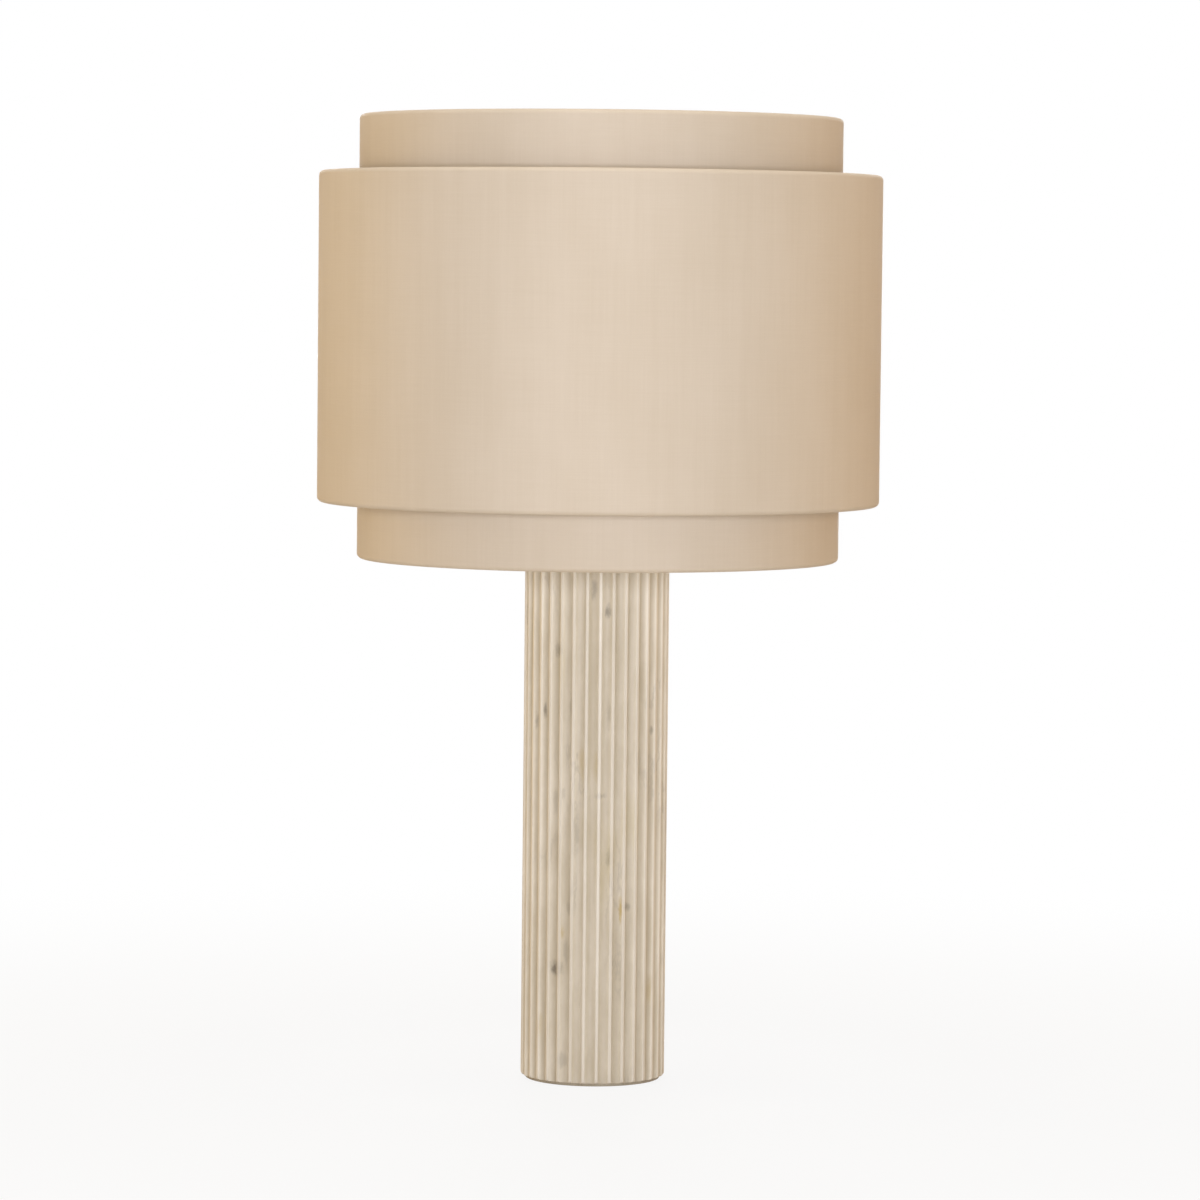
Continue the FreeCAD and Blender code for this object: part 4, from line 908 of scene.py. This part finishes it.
linen, shader, place = start_finish("linen_weave")
laid = place.put("ShaderNodeUVMap", {"uv_map": "cloth"})
warp_place, weft_place = [part / (THREAD * MM) for part in laid.axes()[:2]]
warp_slubs = grain(laid, 0.9, (1, 60, 1), detail=2, shift=3)
weft_slubs = grain(laid, 0.9, (45, 1, 1), detail=2, shift=8)
bands = grain(laid, 9, (1, 30, 1), detail=3, rough=0.6, shift=13)
fuzz = grain(laid, 0.35, detail=2, shift=19)
shading = grain(laid, 60, (1, 1.6, 1), detail=2, shift=23)
crossing = abs((warp_place * math.pi).of("SINE") * (weft_place * math.pi).of("SINE"))
yarn = warp_slubs * 0.5 + weft_slubs * 0.5
tone = (bands * 0.25 + shading * 0.4 + yarn * 0.35).rise(0.3, 0.7)
cloth = tone.tint(ink(223, 205, 181), ink(230, 213, 191))
# Painted shade: the cloth is painted darker along the gaps between its threads.
cloth = ((1 - crossing.rise(0, 0.45)) * 0.16).tint(cloth, ink(176, 152, 122))
connect(shader, {
    "Base Color": cloth,
    "Roughness": 0.5 + fuzz * 0.1,
    "Specular IOR Level": 0.5,
    "Normal": relief(crossing * 0.6 + yarn * 0.3 + fuzz * 0.1, 0.1),
})


def hem_skin(rim, foot, inward):
    """One skin of the cloth, set in by a distance, from the wall round a hoop to the hem's end."""
    wrap = HEM_ROUND - inward
    fold = HEM_IN - HEM_ROUND - inward
    middle = rim - HEM_ROUND
    skin = [(rim - inward, foot + HEM_ROUND)]
    for step in range(1, 9):
        turned = math.radians(90 * step / 8)
        skin.append((middle + math.cos(turned) * wrap, foot + HEM_ROUND - math.sin(turned) * wrap))
    for step in range(1, 7):
        turned = math.radians(90 * step / 6)
        up = (1 - math.cos(turned)) * fold
        skin.append((middle - math.sin(turned) * fold, foot + inward + up))
    return [*skin, (rim - HEM_IN + inward, foot + HEM_LENGTH)]


def hem_outline(rim, foot, top):
    """The cloth's section: up the wall, over the hoops above and below, and down inside them."""
    outer, inner = hem_skin(rim, foot, 0), hem_skin(rim, foot, CLOTH)
    upper_outer, upper_inner = [[(r, foot + top - z) for r, z in skin] for skin in (outer, inner)]
    return outer[::-1] + upper_outer + upper_inner[::-1] + inner


# Each hole for a wire: its height, and how far from the axis the drill starts and stops.
for which, holes in (
    ("inner", [(height, 146, 155) for height in SPOKE_HEIGHTS] + [(ARM_FOOT, 140, 146)]),
    ("outer", [(height, 165, 171) for height in SPOKE_HEIGHTS]),
):
    node = f"{which}_linen"
    foot, top, rim = span(node)
    outline = hem_outline(rim, foot, top)
    drum = turn(f"{which}_drum_linen", outline, columns=drum_columns(rim), unroll=rim)
    lapped(drum, rim, LAP_STEP)
    for height, start, stop in holes:
        work(
            drum, drilling, radius=SPOKE_HOLE * MM, height=height * MM, start=start * MM,
            stop=stop * MM, count=ARMS, first=BACK, finish=linen,
        )
    fit(drum, linen, "shade", "linen", node, crease=50)
    # Laid flat, the cloth is as wide as its outer skin is long, from one hem's end to the other's.
    half = len(outline) // 2
    width = sum(math.dist(a, b) for a, b in zip(outline[:half], outline[1:half]))
    flat = (math.tau * rim + LAP) * MM, width * MM

# ------------------------------------------------
# Fibre washer and shade ring. The washer is stamped from red vulcanised fibre. The phenolic ring
# screws down the skirt's thread by its grips and clamps the hub of the shade.
# ------------------------------------------------

fibre, shader, place = start_finish("vulcanised_fibre")
hairs = grain(place, 0.5, (8, 1, 1), detail=4, rough=0.7)
connect(shader, {
    "Base Color": hairs.rise(0.35, 0.65).tint(ink(104, 42, 30), ink(134, 62, 44)),
    "Roughness": 0.6 + hairs * 0.2,
    "Normal": relief(hairs, 0.03),
})
foot, top, rim = span("ring_washer")
washer = turn("fibre_washer", eased([
    (20, foot, 0.15), (rim, foot, 0.15), (rim, top, 0.15), (20, top, 0.15),
], steps=2), columns=120)
fit(washer, fibre, "ring_lift", "fibre", "ring_washer")

GRIPS = 18
GRIP = 1.5
GRIP_CREST = 27
foot, top, _ = span("shade_ring")
rim = GRIP_CREST - 0.1
shade_ring = turn("moulded_shade_ring", eased([
    (19.55, foot, 0.4), (rim, foot, 0.5), (rim, foot + 3, 0.6), (23.6, foot + 3.2, 0.5),
    (23, foot + 4.2, 0.3), (23, top, 0.8), (19.55, top, 0.5),
]), columns=GRIPS * 16)
work(
    shade_ring, fluting, flutes=float(GRIPS), crest=GRIP_CREST * MM, depth=GRIP * MM,
    hollow=GRIP * MM, ridge=0.5 * MM, overrun=0.05 * MM, first=0.0, finish=phenolic,
)
fit(shade_ring, phenolic, "ring", "phenolic", "shade_ring", crease=50)

# ------------------------------------------------
# Bulb. A solder tip, a dark glass insulator and a rolled screw cap of nickelled brass, a white
# plastic housing that hides the driver, a light board with its chips, and an opal globe.
# ------------------------------------------------

solder, shader, place = start_finish("solder")
ripple = grain(place, 1.5, detail=3)
connect(shader, {
    "Base Color": ripple.tint(ink(184, 184, 188), ink(204, 203, 200)),
    "Metallic": 1,
    "Roughness": 0.25 + ripple * 0.3,
    "Normal": relief(ripple, 0.15),
})
foot, top, rim = span("bulb_tip")
tip = turn("bulb_solder_tip", [
    (0, foot), (1.6, foot + 0.04), (2.9, foot + 0.22), (3.9, foot + 0.6), (4.4, foot + 1.05),
    (rim, top), (0, top),
], columns=48)
fit(tip, solder, "bulb_lift", "solder", "bulb_tip", crease=50)

dark_glass, shader, place = start_finish("dark_insulator_glass")
swirl = grain(place, 3, detail=3)
connect(shader, {
    "Base Color": swirl.tint(ink(20, 18, 22), ink(36, 32, 40)),
    "Roughness": 0.12 + swirl * 0.16,
    "Normal": relief(swirl, 0.06),
})
foot, top, rim = span("bulb_insulator")
insulator = turn("bulb_glass_insulator", eased([
    (0, foot), (4.5, foot, 0.2), (8.2, foot + 1.6, 1.2), (rim - 0.1, top - 0.3, 0.4),
    (rim, top), (0, top),
]), columns=96)
fit(insulator, dark_glass, "bulb_lift", "dark_glass", "bulb_insulator", crease=60)

nickel, shader, place = start_finish("nickelled_brass")
haze = grain(place, 3.5, detail=4, rough=0.6)
drawn = grain(place, 0.3, (1, 1, 10), detail=2, shift=7)
connect(shader, {
    "Base Color": haze.tint(ink(196, 195, 192), ink(212, 209, 202)),
    "Metallic": 1,
    "Roughness": 0.2 + haze * 0.2 + drawn * 0.06,
    "Normal": relief(drawn, 0.01),
})
CAP_WALL = 0.4
foot, top, rim = span("bulb_screw_cap")
bulb_cap = turn("bulb_rolled_cap", [
    (4.5, foot), *eased([(rim - 1.2, foot), (rim, foot + 0.6, 0.6), (rim, foot + 1.2)]),
    *rows(rim, foot + 1.2, top, 84), (rim, top), (rim - CAP_WALL, top),
    *rows(rim - CAP_WALL, top, foot + 1.2, 84),
    *eased([(rim - CAP_WALL, foot + 1.2), (rim - CAP_WALL, foot + CAP_WALL, 0.4),
            (4.5, foot + CAP_WALL)]),
], columns=96)
work(
    bulb_cap, threading, pitch=LAMP_THREAD * MM, depth=0.5 * MM, low=(foot + 1.2) * MM,
    high=(top - 3.6) * MM, wall=(rim - CAP_WALL / 2) * MM, band=0.4 * MM, finish=nickel,
)
fit(bulb_cap, nickel, "bulb", "bulb_cap", "bulb_screw_cap", crease=60)

housing_plastic, shader, place = start_finish("bulb_housing_plastic")
mould = grain(place, 0.6, detail=4, rough=0.6)
warmth = grain(place, 16, detail=2, shift=9)
connect(shader, {
    "Base Color": warmth.tint(ink(226, 225, 221), ink(218, 216, 210)),
    "Roughness": 0.36 + mould * 0.16,
    "Normal": relief(mould, 0.03),
})
foot, top, rim = span("bulb_housing")
housing = turn("bulb_moulded_housing", eased([
    (11.5, foot), (12.7, foot, 0.2), (12.7, foot + 7), (14.5, foot + 7, 0.6),
    (14.5, foot + 13, 3.2), (rim, top, 0.1), (rim - 1.2, top), (13.3, foot + 13, 2.6),
    (11.5, foot + 7, 1),
], steps=8), columns=144)
fit(housing, housing_plastic, "bulb", "bulb_housing", "bulb_housing", crease=45)

opal, shader, place = start_finish("opal_globe")
frost = grain(place, 0.5, detail=3)
depth_tone = grain(place, 22, detail=2, shift=4)
connect(shader, {
    "Base Color": depth_tone.tint(ink(247, 243, 234), ink(241, 236, 224)),
    "Roughness": 0.3 + frost * 0.14,
    "Normal": relief(frost, 0.015),
})
GLOBE = 30
GLOBE_WALL = 1.2
SEAM = -30
foot, top, _ = span("bulb_globe")
globe_middle = top - GLOBE


def blown(radius):
    """The globe's section at a radius, from the seam with the housing up to the top."""
    turns = [math.radians(SEAM + (90 - SEAM) * i / 40) for i in range(40)]
    return [(radius * math.cos(t), globe_middle + radius * math.sin(t)) for t in turns]


outside, inside = blown(GLOBE), blown(GLOBE - GLOBE_WALL)
inside[0] = (inside[0][0], outside[0][1])
globe = turn("bulb_opal_globe", [
    *outside, (0, top), (0, top - GLOBE_WALL), *inside[::-1],
], columns=120)
fit(globe, opal, "bulb", "opal_globe", "bulb_globe", crease=60)

board_coat, shader, place = start_finish("light_board_coat")
print_grain = grain(place, 0.8, detail=3)
connect(shader, {
    "Base Color": print_grain.tint(ink(230, 230, 227), ink(218, 217, 212)),
    "Roughness": 0.45 + print_grain * 0.15,
    "Normal": relief(print_grain, 0.02),
})
dress(board_coat, "light_board")

phosphor, shader, place = start_finish("chip_phosphor")
powder = grain(place, 0.3, detail=3)
connect(shader, {
    "Base Color": powder.tint(ink(238, 208, 92), ink(226, 190, 70)),
    "Roughness": 0.4 + powder * 0.2,
    "Normal": relief(powder, 0.02),
})
dress(phosphor, "light_chips")

# ------------------------------------------------
# Studio. A pale floor that fades into white, soft lights behind the camera, behind both sides, at
# the back and above, and the photograph's camera: far off, above the middle, leaning slightly.
# ------------------------------------------------

FLOOR = 4
WHITE_AT_FOOT = 0.88
floor_paint, shader, place = start_finish("floor_paint")
far_off = place.off_axis().rise(0.3, 1.1)
whiteness = WHITE_AT_FOOT + far_off * (1 - WHITE_AT_FOOT)
seen = place.put("ShaderNodeLightPath", out="Is Camera Ray")
connect(shader, {"Base Color": ink(216, 213, 208), "Roughness": 0.8, "Specular IOR Level": 0.2})
white = place.put("ShaderNodeEmission", {}, {"Color": (1, 1, 1, 1), "Strength": 1})
blend = place.put("ShaderNodeMixShader", {}, {
    0: seen * whiteness, 1: Wire(floor_paint.node_tree, shader.outputs[0]), 2: white})
connect(floor_paint.node_tree.nodes["Material Output"], {"Surface": blend})
corners = [(-FLOOR, -FLOOR, 0), (FLOOR, -FLOOR, 0), (FLOOR, FLOOR, 0), (-FLOOR, FLOOR, 0)]
floor = form("floor", corners, faces=[(0, 1, 2, 3)])
floor.data.materials.append(floor_paint)

# The world is white where it is seen, straight or in a reflection, and else a dim warm fill.
WARM_FILL = (0.28, 0.23, 0.165, 1)
world = bpy.data.worlds.new("studio")
world.use_nodes = True
bpy.context.scene.world = world
sky = Wire(world.node_tree)
path = sky.put("ShaderNodeLightPath")
seen = path.out("Is Camera Ray").of("MAXIMUM", path.out("Is Glossy Ray"))
seen = seen.of("MAXIMUM", path.out("Is Transmission Ray"))
background = world.node_tree.nodes["Background"]
connect(background, {"Color": seen.tint(WARM_FILL, (1, 1, 1, 1))})

# Each softbox: its place and size in metres, and the share of a colour that it shows, in light
# that falls square on a surface at the lamp's axis.
SOFTBOXES = {
    "front": ((0.05, -3.4, 0.5), 0.8, (0.47, 0.507, 0.575)),
    "left": ((-2.3, 1, 0.5), 0.8, (0.205, 0.137, 0.04)),
    "right": ((2.3, 1, 0.5), 0.8, (0.125, 0.062, 0)),
    "back": ((0, 2.9, 0.6), 1.6, (0.44, 0.45, 0.5)),
    "top": ((0, -0.3, 2.6), 1.2, (0.44, 0.43, 0.42)),
}
LAMP_MIDDLE = Vector((0, 0, 0.35))
for name, (spot, size, share) in SOFTBOXES.items():
    away = Vector(spot) - LAMP_MIDDLE
    light = bpy.data.lights.new(f"{name}_softbox", "AREA")
    light.size = size
    light.energy = max(share) * math.pi ** 2 * away.length_squared
    light.color = [part / max(share) for part in share]
    lamp = bpy.data.objects.new(light.name, light)
    lamp.location = spot
    lamp.rotation_euler = away.to_track_quat("Z", "Y").to_euler()
    lamp.visible_camera = False
    bpy.context.scene.collection.objects.link(lamp)

EYE = Vector((0.0019, -3.2, 0.5))
LENS = 154.1
TILT = math.radians(3.585)
ROLL = math.radians(0.58)
lens = bpy.data.cameras.new("camera")
lens.sensor_width = 36
lens.lens = LENS
camera = bpy.data.objects.new("camera", lens)
camera.matrix_world = (
    Matrix.Translation(EYE)
    @ Matrix.Rotation(math.pi / 2 - TILT, 4, "X")
    @ Matrix.Rotation(ROLL, 4, "Z")
)
bpy.context.scene.collection.objects.link(camera)
bpy.context.scene.camera = camera
bpy.context.scene.view_settings.view_transform = "Standard"
